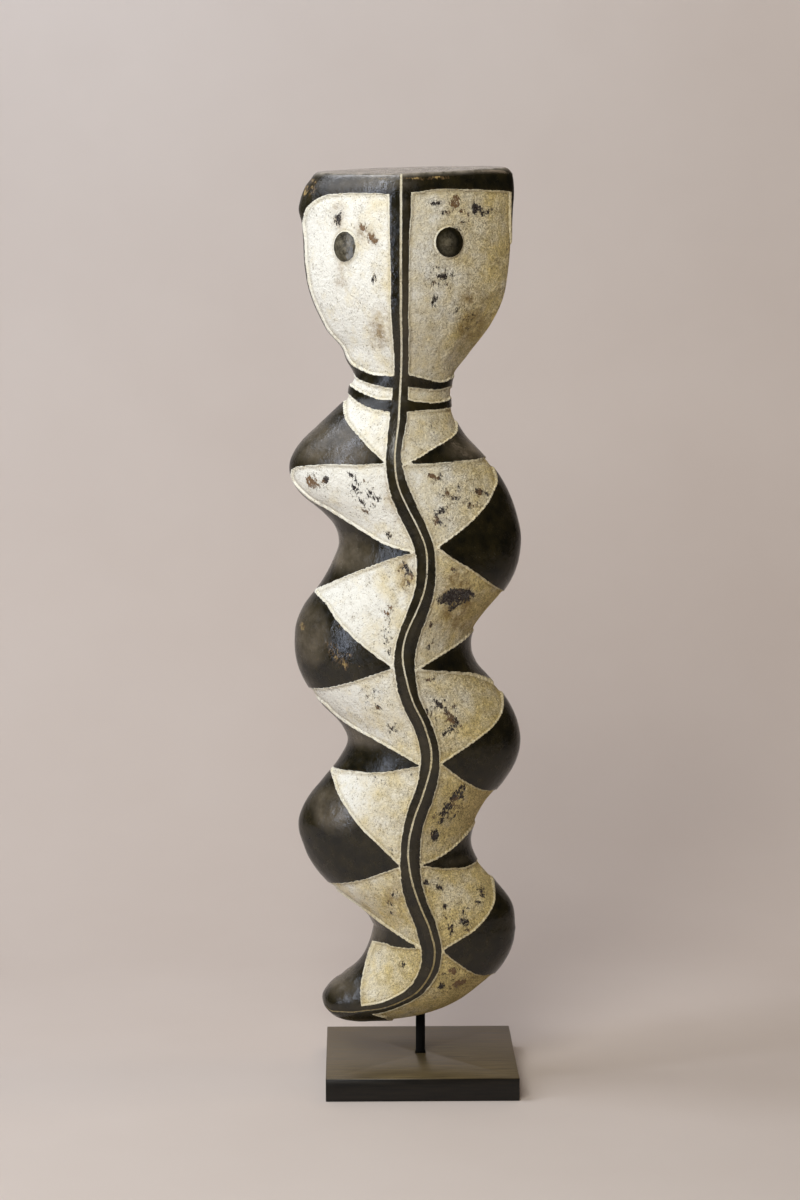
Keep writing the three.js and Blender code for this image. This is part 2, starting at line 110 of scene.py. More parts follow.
TAIL_SPINE_SHARE: Pairs = [
    (0, 0.382), (10, 0.435), (20, 0.495), (30, 0.54), (40, 0.565), (48, 0.593), (60, 0.627),
    (72, 0.647), (78, 0.67), (82, 0.725), (86, 0.82), (89, 0.9),
]
TAIL_FRONT: Pairs = [
    (0, 106), (20, 97), (45, 82), (60, 70), (75, 53), (80, 46), (85, 34), (87, 26), (88, 18.5),
    (88.6, 11), (89, 1),
]
# The tail's sections grow rounder towards its end: exponents of its front profile, by angle
TAIL_SHARPNESS: Pairs = [(0, 1.3), (40, 1.6), (70, 2)]
TAIL_ROUNDNESS: Pairs = [(0, 1.72), (40, 1.85), (70, 2)]
SPINE_HALF_WIDTH: Pairs = [
    (1573, 20.5), (1480, 17.5), (1400, 16), (1300, 14.5), (1250, 13), (1160, 15.5), (1087, 13.5),
    (1050, 16.5), (900, 16.7), (757, 18.5), (640, 16), (560, 17.2), (440, 17.3), (320, 18.5),
    (268, 19),
]
TAIL_SPINE_HALF_WIDTH: Pairs = [(0, 19), (11, 17.5), (20, 15.5), (29, 13), (38, 11.2), (60, 10), (88, 8)]
# The cream line wanders within the spine band: its distance to the right of the ridge, by height
LINE_OFFSET: Pairs = [
    (1573, 1), (1300, 1), (1225, -1), (1098, 2), (1039, 0), (1003, 2), (853, -2), (817, -5),
    (781, -6), (749, -3), (716, 1), (657, 4), (628, 3), (571, 1), (542, -2), (478, -3), (414, -4),
    (351, 3), (289, 5), (268, 6),
]

# Half the width of the cream line, by height, which goes on below 0 round the tail
LINE_HALF_WIDTH: Pairs = [(1573, 2.0), (1250, 1.9), (1180, 1.7), (268, 1.5), (60, 1.1), (-40, 0.8)]
# Where the rows lie that close the top and the tip: shares of the cap and of the rim, and degrees
CAP_SHARES = (0.93, 0.84, 0.74, 0.62, 0.5, 0.38, 0.27, 0.17, 0.09, 0.03)
RIM_SHARES = (1, 0.83, 0.67, 0.5, 0.33, 0.17)
TIP_DEGREES = (84.6, 85.3, 86, 86.6, 87.1, 87.5, 87.85, 88.15, 88.4, 88.6, 88.75, 88.87, 88.95)


class Slot(Enum):
    """Names of the part's finishes."""

    CARVING = "painted_carving"
    BAR = "black_steel"
    BOARD = "black_board"


def along(pairs: Pairs, t: np.ndarray) -> np.ndarray:
    """Smooth curve through pairs, held at its ends.

    Args:
        pairs: (place, value) pairs in order.
        t: places to read.

    Returns:
        The values at t.
    """
    x, y = np.array(sorted(pairs), float).T
    h = np.diff(x)
    rise = np.diff(y) / h
    middle = (rise[:-1] * h[1:] + rise[1:] * h[:-1]) / (h[1:] + h[:-1])
    slope = np.concatenate([rise[:1], middle, rise[-1:]])
    t = np.clip(t, x[0], x[-1])
    i = np.clip(np.searchsorted(x, t, "right") - 1, 0, len(h) - 1)
    s = (t - x[i]) / h[i]
    low = (1 + 2 * s) * (1 - s) ** 2 * y[i] + s * (1 - s) ** 2 * h[i] * slope[i]
    return low + s * s * (3 - 2 * s) * y[i + 1] + s * s * (s - 1) * h[i] * slope[i + 1]


def straight(pairs: Pairs, t: np.ndarray) -> np.ndarray:
    """Straight lines between pairs, held at their ends.

    Args:
        pairs: (place, value) pairs in order.
        t: places to read.

    Returns:
        The values at t.
    """
    x, y = np.array(sorted(pairs), float).T
    return np.interp(t, x, y)


def smooth(points: Outline, step: float = 4.0) -> np.ndarray:
    """Evenly spaced points on a smooth line through a few points.

    Args:
        points: the points that the line passes through, as (x, z).
        step: distance between the points returned.

    Returns:
        An array of (x, z) rows.
    """
    p = np.array(points, float)
    ends = np.vstack([p[:1], p, p[-1:]])
    rows = []
    t = np.linspace(0, 1, 24, endpoint=False)[:, None]
    for a, b, c, d in zip(ends[:-3], ends[1:-2], ends[2:-1], ends[3:]):
        v0, v1 = (c - a) / 2, (d - b) / 2
        rows.append((2 * b - 2 * c + v0 + v1) * t**3 + (3 * c - 3 * b - 2 * v0 - v1) * t**2 + v0 * t + b)
    dense = np.vstack(rows + [p[-1:]])
    run = np.concatenate([[0], np.cumsum(np.hypot(*np.diff(dense, axis=0).T))])
    even = np.linspace(0, run[-1], max(2, round(run[-1] / step)) + 1)
    return np.column_stack([np.interp(even, run, dense[:, k]) for k in (0, 1)])


@dataclass
class SnakeForm:
    """The smooth form of the carving, before its pattern is cut.

    A place on it is (run, turn): run is the distance down the carving, with the tail's angle
    after it, and turn goes round a section, 0 at the ridge, 90 at the right edge, 270 at the left.
    """

    tail_height: float = 268
    pivot: tuple[float, float] = (-175, 268)
    tail_end: float = 89
    tip: float = 134
    run_per_degree: float = 4.2
    turned: float = 0.13
    turned_from: float = -20
    top: float = 1562
    top_height: float = 1573
    slope_y: float = 0.088
    slope_x: float = 0.024
    slope_start: float = 1490
    top_centre: float = -25
    dome: float = 3
    tail_back: float = 0.8
    tail_line_offset: float = 6
    tail_line_fade: float = 60
    jaw_cut: Pairs = field(default_factory=lambda: [(1380, 1), (1352, 0.78), (1248, 0.67), (1225, 1)])
    sharpness: Pairs = field(default_factory=lambda: [(1300, 1.15), (1225, 1.3)])
    roundness: Pairs = field(default_factory=lambda: [(1300, 1.35), (1225, 1.72)])

    @property
    def body_run(self) -> float:
        """Run at which the tail starts."""
        return self.top - self.tail_height

    def line_across(self, run: np.ndarray) -> np.ndarray:
        """Place of the cream line across a section.

        Args:
            run: distance down the carving.

        Returns:
            The line's x on the body, and its distance from the pivot on the tail.
        """
        height = self.top - run
        angle = (run - self.body_run) / self.run_per_degree
        body = along(SPINE_X, height) + along(LINE_OFFSET, height)
        near, far = along(TAIL_INNER, angle), along(TAIL_OUTER, angle)
        fade = np.clip(1 - angle / self.tail_line_fade, 0, 1)
        tail = near + along(TAIL_SPINE_SHARE, angle) * (far - near) + self.tail_line_offset * fade
        return np.where(run <= self.body_run, body, tail)

    def place(self, run: np.ndarray, turn: np.ndarray, shift: np.ndarray) -> np.ndarray:
        """Point on the form.

        Args:
            run: distance down the carving.
            turn: degrees round the section.
            shift: distance to the right of the cream line, before turn moves the point on.

        Returns:
            (x, y, z) rows in millimetres.
        """
        run, turn, shift = np.broadcast_arrays(run, turn, shift)
        height = np.maximum(self.top - run, self.tail_height)
        angle = np.maximum((run - self.body_run) / self.run_per_degree, 0)
        in_tail = run > self.body_run
        left = np.where(in_tail, along(TAIL_INNER, angle), along(LEFT_EDGE, height))
        right = np.where(in_tail, along(TAIL_OUTER, angle), along(RIGHT_EDGE, height))
        ridge = np.where(in_tail, left + along(TAIL_SPINE_SHARE, angle) * (right - left), along(SPINE_X, height))
        front = np.where(in_tail, along(TAIL_FRONT, angle), along(FRONT_DEPTH, height))
        back = np.where(in_tail, front * self.tail_back, along(BACK_DEPTH, height))
        turn = turn % 360
        line = np.clip(self.line_across(run) + shift, left, right)
        side = np.where(turn < 180, right, left)
        across = line + np.abs(np.sin(np.radians(turn))) * (side - line)
        on_back = (turn > 90) & (turn < 270)
        around = np.radians(turn - 90)
        across = np.where(on_back, (left + right) / 2 + (right - left) / 2 * np.cos(around), across)
        is_right = across > ridge
        room = np.where(is_right, right - ridge, ridge - left)
        share = np.clip(np.abs(across - ridge) / np.maximum(room, 1e-6), 0, 1)
        cut = np.where(is_right & ~in_tail, straight(self.jaw_cut, height), 1.0)
        n = np.where(in_tail, straight(TAIL_SHARPNESS, angle), straight(self.sharpness, height))
        m = np.where(in_tail, straight(TAIL_ROUNDNESS, angle), straight(self.roundness, height))
        kept = np.minimum(share, cut)
        depth = np.maximum(1 - kept**n, 0) ** (1 / m)
        depth = np.where(share > cut, depth * (1 - share) / np.maximum(1 - cut, 1e-6), depth)
        y = np.where(on_back, back * np.sin(around), -front * depth)
        a = np.radians(angle)
        x = np.where(in_tail, self.pivot[0] + across * np.cos(a), across)
        z = np.where(in_tail, self.pivot[1] - across * np.sin(a), height)
        lean = np.clip((height - self.slope_start) / (self.top - self.slope_start), 0, 1)
        lean = lean * lean * (3 - 2 * lean)
        z = z + lean * (self.slope_y * y + self.slope_x * (x - SPINE_X[0][1]))
        y = y - self.turned * (x - self.turned_from)
        return np.stack([x, y, z], -1)

    def cap(self, share: np.ndarray, height: np.ndarray, turn: np.ndarray, shift: np.ndarray) -> np.ndarray:
        """Point on the top of the head.

        Args:
            share: 1 at the rim and 0 in the middle.
            height: height of the middle.
            turn: degrees round the rim.
            shift: distance to the right of the cream line.

        Returns:
            (x, y, z) rows in millimetres.
        """
        rim = self.place(np.zeros_like(turn), turn, shift)
        x = self.top_centre + share * (rim[..., 0] - self.top_centre)
        z = height + share * (rim[..., 2] - self.top)
        return np.stack([x, share * rim[..., 1], z], -1)


# Outlines of the cream fields as seen from the front, as (x, z); inner ends lie under the spine band
FACE_LEFT_TOP: Outline = [
    (-38, 1531), (-61, 1530), (-112, 1532), (-149, 1531), (-170, 1526), (-193, 1509), (-201, 1484),
]
FACE_LEFT_FOOT: Outline = [(-125, 1256), (-117, 1245), (-106, 1239), (-86, 1231), (-64, 1229), (-38, 1227)]
FACE_RIGHT_TOP: Outline = [(-38, 1529), (-16, 1532), (14, 1536), (46, 1538), (117, 1537), (150, 1535)]
FACE_RIGHT_SIDE: Outline = [(151, 1500), (152, 1470), (153, 1452)]
FACE_RIGHT_FOOT: Outline = [
    (88, 1238), (72, 1230), (58, 1225), (47, 1220), (31, 1217), (4, 1224), (-22, 1231), (-38, 1235),
]
FIELDS: dict[str, tuple[Outline, Outline]] = {
    "between_bands_left": (
        [(-36, 1205), (-49, 1206), (-70, 1209), (-94, 1215), (-110, 1222), (-120, 1234), (-140, 1250)],
        [(-140, 1222), (-120, 1209), (-104, 1200), (-86, 1193), (-70, 1189), (-36, 1189)],
    ),
    "between_bands_right": (
        [(-36, 1211), (-23, 1209), (-4, 1206), (19, 1204), (39, 1205), (70, 1212)],
        [(70, 1193), (51, 1188), (40, 1184), (19, 1183), (-4, 1185), (-36, 1191)],
    ),
    "neck_left": (
        [(-40, 1168), (-55, 1168), (-70, 1169), (-89, 1173), (-109, 1182), (-123, 1193), (-132, 1200)],
        [(-132, 1186), (-130, 1158), (-118, 1140), (-102, 1123), (-82, 1102), (-61, 1083), (-46, 1070)],
    ),
    "neck_right": (
        [(-40, 1168), (-22, 1168), (4, 1169), (27, 1170), (52, 1172), (62, 1173)],
        [(60, 1160), (62, 1145), (59, 1131), (42, 1119), (18, 1107), (-4, 1094), (-30, 1082), (-46, 1074)],
    ),
    "first_left": (
        [(-46, 1083), (-60, 1083), (-101, 1079), (-148, 1078), (-186, 1074), (-210, 1070), (-221, 1064)],
        [(-223, 1055), (-220, 1043), (-208, 1030), (-186, 1012), (-153, 995), (-101, 966), (-76, 952), (-50, 942),
         (-16, 935), (0, 932)],
    ),
    "first_right": (
        [(-46, 1079), (-33, 1080), (19, 1082), (68, 1084), (107, 1087), (126, 1089)],
        [(124, 1070), (129, 1051), (124, 1037), (110, 1013), (83, 985), (51, 961), (25, 943), (2, 928)],
    ),
    "second_left": (
        [(0, 938), (-14, 933), (-46, 923), (-94, 902), (-133, 883), (-184, 855)],
        [(-162, 838), (-143, 812), (-117, 787), (-84, 762), (-50, 739), (-29, 726)],
    ),
    "second_right": (
        [(4, 956), (28, 940), (50, 924), (83, 903), (116, 877), (142, 858), (168, 840)],
        [(114, 804), (92, 791), (78, 781), (60, 771), (37, 760), (12, 747), (-10, 736), (-29, 729)],
    ),
    "third_left": (
        [(-29, 744), (-49, 737), (-72, 728), (-102, 715), (-132, 703), (-163, 692), (-205, 682)],
        [(-196, 676), (-168, 660), (-145, 639), (-114, 622), (-71, 604), (-38, 589), (-4, 572), (12, 564)],
    ),
    "third_right": (
        [(-29, 736), (-12, 735), (16, 732), (50, 727), (87, 720), (114, 708), (139, 690)],
        [(141, 676), (139, 659), (133, 647), (120, 632), (98, 617), (68, 598), (37, 579), (14, 563)],
    ),
    "fourth_left": (
        [(12, 575), (-4, 570), (-32, 562), (-71, 552), (-114, 548), (-158, 545)],
        [(-151, 530), (-142, 508), (-122, 479), (-100, 454), (-71, 427), (-38, 397), (-20, 380)],
    ),
    "fourth_right": (
        [(12, 592), (35, 572), (63, 548), (93, 527), (108, 519), (135, 513), (155, 512)],
        [(110, 470), (92, 450), (82, 441), (72, 432), (48, 417), (22, 405), (-3, 398), (-20, 395)],
    ),
    "fifth_left": (
        [(-20, 402), (-38, 393), (-71, 378), (-104, 362), (-151, 345), (-180, 336)],
        [(-168, 338), (-140, 323), (-120, 311), (-88, 291), (-58, 276), (-27, 261), (-5, 252), (14, 244)],
    ),
    "fifth_right": (
        [(-20, 396), (-3, 395), (33, 388), (65, 384), (83, 384), (100, 388), (118, 392)],
        [(122, 368), (127, 345), (125, 321), (111, 299), (89, 279), (64, 265), (35, 249), (14, 236)],
    ),
}
TAIL_LEFT_TOP: Outline = [(14, 250), (-5, 249), (-27, 245), (-50, 243), (-63, 245), (-83, 241)]
TAIL_LEFT_SIDE: Outline = [(-92, 218), (-100, 189), (-104, 168), (-104, 146)]
TAIL_RIGHT_TOP: Outline = [
    (14, 264), (35, 246), (64, 220), (90, 200), (110, 191), (136, 189), (165, 190),
]
TAIL_RIGHT_FOOT: Outline = [(150, 90), (-10, 75), (-45, 96), (-62, 116), (-84, 124)]


@dataclass(frozen=True)
class Eye:
    """A raised round eye, seen as an ellipse because the face turns away from it."""

    x: float
    z: float
    half_width: float
    half_height: float = 26


@dataclass
class CarvedPattern:
    """The sunk cream fields and what stands up between them, in the front view's (x, z)."""

    form: SnakeForm
    reach: float = 15
    side_edge: float = 3
    beyond: float = 15
    above_head: float = 30
    band_end: float = 84
    left_side: tuple[float, float] = (1465, 1270)
    right_side: tuple[float, float] = (1440, 1268)
    side_points: int = 40
    at_once: int = 4000
    eyes: tuple[Eye, ...] = (Eye(-130, 1444, 19), Eye(45, 1451, 24))

    def __post_init__(self) -> None:
        """Works the outlines out once."""
        self.spine = self.spine_line()
        self.outlines = self.field_outlines()
        self.band = self.spine_band()

    def spine_line(self) -> np.ndarray:
        """Middle line of the raised spine band, from above the head to the tail.

        Returns:
            (x, z, half width) rows.
        """
        height = np.arange(SPINE_X[0][0] + self.above_head, self.form.tail_height, -6.0)
        body = np.column_stack([along(SPINE_X, height), height, along(SPINE_HALF_WIDTH, height)])
        angle = np.arange(0.0, self.band_end, 2.0)
        near, far = along(TAIL_INNER, angle), along(TAIL_OUTER, angle)
        out = near + along(TAIL_SPINE_SHARE, angle) * (far - near)
        a = np.radians(angle)
        x = self.form.pivot[0] + out * np.cos(a)
        z = self.form.pivot[1] - out * np.sin(a)
        return np.vstack([body, np.column_stack([x, z, along(TAIL_SPINE_HALF_WIDTH, angle)])])

    def spine_band(self) -> np.ndarray:
        """Outline of the raised band along the spine.

        Returns:
            (x, z) rows.
        """
        p = self.spine[:, :2]
        run = np.gradient(p, axis=0)
        run /= np.linalg.norm(run, axis=1)[:, None]
        side = np.column_stack([run[:, 1], -run[:, 0]]) * self.spine[:, 2:]
        return np.vstack([p + side, (p - side)[::-1]])

    def field_outlines(self) -> list[np.ndarray]:
        """Closed outlines of all the cream fields.

        Returns:
            One array of (x, z) rows for each field.
        """
        left = np.linspace(*self.left_side, self.side_points)
        right = np.linspace(*self.right_side, self.side_points)
        left_side = np.column_stack([along(LEFT_EDGE, left) + self.side_edge, left])
        right_side = np.column_stack([along(RIGHT_EDGE, right) + self.beyond, right])
        tail = self.spine[self.spine[:, 1] < self.form.tail_height][::-1, :2]
        left_tail = tail[(tail[:, 0] > TAIL_LEFT_SIDE[-1][0]) & (tail[:, 1] < TAIL_LEFT_TOP[0][1])]
        right_tail = tail[tail[:, 0] > TAIL_RIGHT_FOOT[-1][0]]
        made = [
            np.vstack([smooth(FACE_LEFT_TOP), left_side, smooth(FACE_LEFT_FOOT)]),
            np.vstack([smooth(FACE_RIGHT_TOP), np.array(FACE_RIGHT_SIDE, float), right_side, smooth(FACE_RIGHT_FOOT)]),
            np.vstack([smooth(TAIL_LEFT_TOP), smooth(TAIL_LEFT_SIDE), left_tail]),
            np.vstack([smooth(TAIL_RIGHT_TOP), np.array(TAIL_RIGHT_FOOT, float), right_tail]),
        ]
        return made + [np.vstack([smooth(upper), smooth(lower)]) for upper, lower in FIELDS.values()]

    def inside(self, points: np.ndarray, outline: np.ndarray) -> np.ndarray:
        """Signed distance to an outline.

        Args:
            points: (x, z) rows.
            outline: (x, z) rows of the closed outline.

        Returns:
            Millimetres, positive inside and held at the reach.
        """
        result = np.full(len(points), -self.reach)
        low, high = outline.min(0) - self.reach, outline.max(0) + self.reach
        near = np.flatnonzero(((points > low) & (points < high)).all(1))
        a, b = outline, np.roll(outline, -1, 0)
        for part in np.array_split(near, max(1, len(near) // self.at_once)):
            p = points[part][:, None]
            run = b - a
            t = np.clip(((p - a) * run).sum(-1) / np.maximum((run**2).sum(-1), 1e-9), 0, 1)
            away = np.sqrt(((p - a - t[..., None] * run) ** 2).sum(-1).min(1))
            crosses = (a[:, 1] > p[..., 1]) != (b[:, 1] > p[..., 1])
            rise = np.where(np.abs(run[:, 1]) < 1e-9, 1e-9, run[:, 1])
            hits = crosses & (p[..., 0] < a[:, 0] + (p[..., 1] - a[:, 1]) * run[:, 0] / rise)
            sign = np.where(hits.sum(1) % 2 == 1, 1.0, -1.0)
            result[part] = sign * np.minimum(away, self.reach)
        return result

    def cream(self, points: np.ndarray, eyes: np.ndarray) -> np.ndarray:
        """Signed distance into the cream fields.

        Args:
            points: (x, z) rows.
            eyes: true where a point is on the side that has eyes.

        Returns:
            Millimetres, positive in cream.
        """
        value = np.full(len(points), -self.reach)
        for outline in self.outlines:
            value = np.maximum(value, self.inside(points, outline))
        value = np.minimum(value, -self.inside(points, self.band))
        for eye in self.eyes:
            d = (points - (eye.x, eye.z)) / (eye.half_width, eye.half_height)
            size = np.sqrt((d**2).sum(1))
            steep = np.sqrt(((d / (eye.half_width, eye.half_height)) ** 2).sum(1)) / np.maximum(size, 1e-6)
            round_eye = (size - 1) / np.maximum(steep, 1e-6)
            value = np.where(eyes, np.minimum(value, np.clip(round_eye, -self.reach, self.reach)), value)
        return value


# Worn places on the front: x, z, half width, half height, and degrees turned clockwise
CHIPS: list[Spot] = [
    (-141, 1490, 6, 12, 10), (-98, 1474, 13, 4, 50), (-84, 1457, 12, 5, 50), (55, 1517, 8, 12, 0),
    (91, 1507, 13, 8, 30), (110, 1502, 11, 4, -50), (40, 1501, 10, 4, 10), (22, 1515, 7, 3, 0),
    (34, 1396, 12, 5, -15), (20, 1358, 3, 7, 0), (-81, 1391, 4, 10, 0), (24, 990, 5, 13, 10),
    (33, 1003, 12, 5, -50), (18, 1061, 12, 4, 10), (98, 1033, 11, 5, 15), (80, 1011, 7, 5, 30),
    (-188, 1045, 13, 7, 50), (-162, 1051, 5, 7, 0), (-119, 1061, 10, 4, 30),
    (-83, 1027, 5, 11, -30), (-100, 1016, 7, 3, 40), (-94, 1000, 8, 3, 30), (-114, 1040, 6, 3, 40),
    (-56, 962, 4, 7, 0), (-40, 934, 5, 5, 0), (56, 857, 32, 15, -8), (49, 838, 8, 4, -40),
    (52, 906, 5, 5, 0), (-23, 901, 5, 12, -30), (-62, 831, 10, 3, 20), (-52, 840, 9, 3, -30),
    (14, 809, 3, 7, 0), (11, 774, 4, 7, 0), (-56, 808, 3, 11, 0), (12, 718, 9, 4, 0),
    (31, 673, 21, 4, 45), (52, 651, 14, 7, 35), (46, 631, 12, 4, -40), (-49, 630, 11, 4, 30),
    (-75, 668, 6, 4, 40), (62, 520, 20, 9, -55), (44, 495, 17, 7, -50), (34, 473, 8, 4, -50),
    (22, 450, 7, 16, 0), (-18, 555, 6, 4, 0), (6, 366, 5, 6, 0), (30, 356, 9, 4, -20),
    (105, 340, 4, 10, 0), (38, 323, 4, 8, 0), (50, 284, 6, 11, 0), (75, 294, 13, 6, 20),
    (98, 326, 7, 4, 0), (-60, 335, 3, 6, 0), (52, 208, 8, 7, 0), (67, 184, 13, 7, -20),
    (35, 181, 8, 6, -20), (-32, 216, 4, 7, 0),
]
FLECKS: list[Spot] = [
    (-92, 1466, 30, 14, 50), (28, 1516, 15, 7, 0), (101, 1502, 25, 19, 30), (63, 1482, 34, 29, 0),
    (28, 1393, 36, 22, 0), (20, 1350, 10, 22, 0), (74, 1328, 31, 27, 0), (-80, 1277, 4, 10, 0),
    (17, 1141, 22, 10, 50), (-95, 1029, 45, 26, 40), (-179, 1047, 27, 19, 0), (27, 1058, 24, 14, 0),
    (49, 1029, 26, 19, 0), (35, 993, 22, 22, 0), (93, 1023, 22, 24, 0), (-27, 898, 17, 31, 0),
    (-57, 802, 17, 52, 0), (13, 887, 10, 34, 0), (14, 795, 10, 31, 0), (-84, 683, 21, 31, 0),
    (-47, 630, 17, 17, 30), (38, 655, 44, 30, 50), (-74, 536, 14, 12, 0), (44, 483, 52, 26, -50),
    (-50, 329, 14, 39, 0), (20, 361, 22, 19, 0), (105, 334, 20, 27, 0), (61, 298, 33, 34, 0),
    (53, 193, 31, 29, -20), (-33, 216, 7, 15, 0), (-54, 425, 14, 21, 0),
]
STAINS: list[Spot] = [
    (-140, 1495, 13, 26, 0), (-134, 1411, 12, 12, 0), (-134, 1381, 10, 15, 0),
    (-72, 1308, 19, 38, 0), (81, 1361, 17, 15, -30), (-93, 1464, 25, 14, 50), (-27, 898, 17, 31, 0),
    (-45, 1036, 19, 50, 0), (69, 183, 16, 12, 0), (59, 851, 29, 69, 0), (-47, 331, 14, 40, 0),
    (83, 1312, 27, 26, 0),
]
RUBBED: list[Spot] = [
    (-204, 794, 7, 10, 0), (-146, 754, 40, 14, 50), (-130, 1127, 5, 5, 0), (-176, 743, 5, 5, 0),
    (-31, 348, 6, 7, 0), (-188, 1545, 17, 24, 0), (-124, 754, 9, 8, 0), (-106, 738, 8, 6, 0),
    (-158, 762, 9, 12, 0), (-140, 805, 6, 12, 20),
]
WORN_THROUGH: list[Spot] = [
    (-204, 795, 6, 8, 0), (-10, 1556, 22, 3, 0), (30, 1558, 24, 3, 0), (-62, 1556, 20, 2, 0),
    (-196, 1536, 4, 9, 20), (-28, 813, 6, 2, 0),
]
PATINA: list[Spot] = [(-130, 1444, 21, 28, 0), (41, 1449, 12, 15, 0), (-70, 1552, 26, 10, 0)]
# Painted sheen: grey laid on the black where the light from the left shines, mostly on the left-facing bulges
PAINTED_SHEEN_SPOTS: list[Spot] = [
    (-150, 190, 34, 60, -30), (-100, 1548, 80, 14, 0), (-150, 1108, 78, 44, 0),
    (-190, 785, 34, 56, 0), (-150, 480, 44, 40, 0), (-132, 924, 60, 36, 0), (-100, 612, 36, 26, 0),
    (63, 397, 20, 6, 0), (-29, 1335, 8, 140, 0), (-100, 270, 40, 50, 0), (100, 1105, 60, 24, 0),
]
# Bare places where the wood shows orange-brown
RUSTY: list[Spot] = [
    (-188, 1045, 26, 16, 0), (55, 1517, 14, 16, 0), (-56, 836, 30, 12, 0), (67, 184, 24, 12, -20),
    (52, 208, 10, 10, 0), (-40, 934, 10, 8, 0), (-92, 1465, 36, 20, 50),
]
# Where the cream is lighter or darker than its surroundings
LIGHTER_CREAM_SPOTS: list[Spot] = [
    (45, 1020, 95, 80, 0), (60, 670, 40, 36, 0), (40, 1440, 90, 110, 0), (-60, 1030, 90, 60, 0),
    (70, 345, 60, 50, 0),
]
DARKER_CREAM_SPOTS: list[Spot] = [
    (70, 490, 80, 70, 0), (-60, 325, 80, 60, 0), (-20, 215, 45, 50, 0), (70, 850, 90, 60, 0),
    (90, 1290, 50, 60, 0), (-40, 890, 40, 50, 0), (90, 170, 90, 60, 0),
]


def spots_at(points: np.ndarray, spots: list[Spot]) -> np.ndarray:
    """How far each point is inside the nearest spot.

    Args:
        points: (x, z) rows.
        spots: the worn places.

    Returns:
        Millimetres, positive inside.
    """
    result = np.full(len(points), -30.0)
    for x, z, half_width, half_height, turn in spots:
        c, s = math.cos(math.radians(turn)), math.sin(math.radians(turn))
        d = points - (x, z)
        across = (d[:, 0] * c - d[:, 1] * s) / half_width
        up = (d[:, 0] * s + d[:, 1] * c) / half_height
        result = np.maximum(result, (1 - np.hypot(across, up)) * min(half_width, half_height))
    return result


def side_room(points: np.ndarray) -> np.ndarray:
    """How far points are from the left edge of the carving.

    Args:
        points: (x, y, z) rows.

    Returns:
        0 at the edge, rising to 1 well inside it.
    """
    return np.clip((points[:, 0] - along(LEFT_EDGE, points[:, 2])) / 30, 0, 1)


@dataclass(frozen=True)
class Wear:
    """Spots of one kind of wear with soft edges: how worn they are at the edge and at the most."""

    spots: list[Spot]
    at_edge: float = 0
    fade: float = 25
    most: float = 1

    def at(self, points: np.ndarray) -> np.ndarray:
        """How worn points are.

        Args:
            points: (x, z) rows.

        Returns:
            0 well outside the spots, rising by 1 over the fade in millimetres.
        """
        return np.clip(self.at_edge + spots_at(points, self.spots) / self.fade, 0, self.most)


# Besides wear, these hold a painted sheen on the black and listed spots of lighter and darker cream
WEAR: dict[str, Wear] = {
    "stains": Wear(STAINS, at_edge=0.35, fade=14),
    "rubbed": Wear(RUBBED, at_edge=0.35, fade=10),
    "worn_through": Wear(WORN_THROUGH, at_edge=0.7, fade=2, most=1.7),
    "patina": Wear(PATINA, at_edge=0.3, fade=20, most=0.85),
    "painted_sheen": Wear(PAINTED_SHEEN_SPOTS, at_edge=0.2, fade=24, most=0.95),
    "rusty": Wear(RUSTY, fade=3),
    "darker_cream": Wear(DARKER_CREAM_SPOTS),
    "lighter_cream": Wear(LIGHTER_CREAM_SPOTS),
}


def linear(colour: str) -> tuple[float, float, float, float]:
    """Turns an sRGB colour linear.

    Args:
        colour: six hex digits after a hash sign.

    Returns:
        Linear red, green, blue and full alpha.
    """
    parts = [int(colour[i : i + 2], 16) / 255 for i in (1, 3, 5)]
    r, g, b = (c / 12.92 if c <= 0.04045 else ((c + 0.055) / 1.055) ** 2.4 for c in parts)
    return (r, g, b, 1.0)


@dataclass(frozen=True)
class Grain:
    """A cloudy pattern: its size in millimetres, and how detailed, rough and bent it is."""

    size: float
    detail: float
    roughness: float = 0.5
    bend: float = 0.0

    def inputs(self, place: Socket) -> dict[str, float | Socket]:
        """Inputs of a noise node that draws this pattern.

        Args:
            place: the coordinates it is read at.

        Returns:
            Values and sockets by the node's input names.
        """
        shape = {"Detail": self.detail, "Roughness": self.roughness, "Distortion": self.bend}
        return {"Vector": place, "Scale": 1 / (self.size * MM), **shape}


def node(
    tree: Tree, kind: str, inputs: Optional[dict] = None, output: int | str = 0, **settings: object
) -> Optional[Socket]:
    """Adds a node with its settings, input values and links.

    Args:
        tree: the material's node tree.
        kind: the node's type without its common prefix.
        inputs: value or output socket for each input, by name or number.
        output: the output to give back, by name or number.
        settings: the node's own properties.

    Returns:
        That output socket, or None for a node that has none.
    """
    made = tree.nodes.new("ShaderNode" + kind)
    for name, value in settings.items():
        setattr(made, name, value)
    for name, value in (inputs or {}).items():
        if isinstance(value, Socket):
            tree.links.new(value, made.inputs[name])
        else:
            made.inputs[name].default_value = value
    return made.outputs[output] if len(made.outputs) else None


def new_material(name: str) -> tuple[bpy.types.Material, Tree]:
    """Makes an empty node material.

    Args:
        name: the finish it shows.

    Returns:
        The material and its node tree.
    """
    material = bpy.data.materials.new(name)
    material.use_nodes = True
    material.node_tree.nodes.clear()
    return material, material.node_tree


@dataclass(frozen=True)
class PaintGround:
    """What every layer of the paint reads.

    Upright is the place with Z drawn out, and field_edge is millimetres into a cream field.
    """

    tree: Tree
    place: Socket
    upright: Socket
    field_edge: Socket


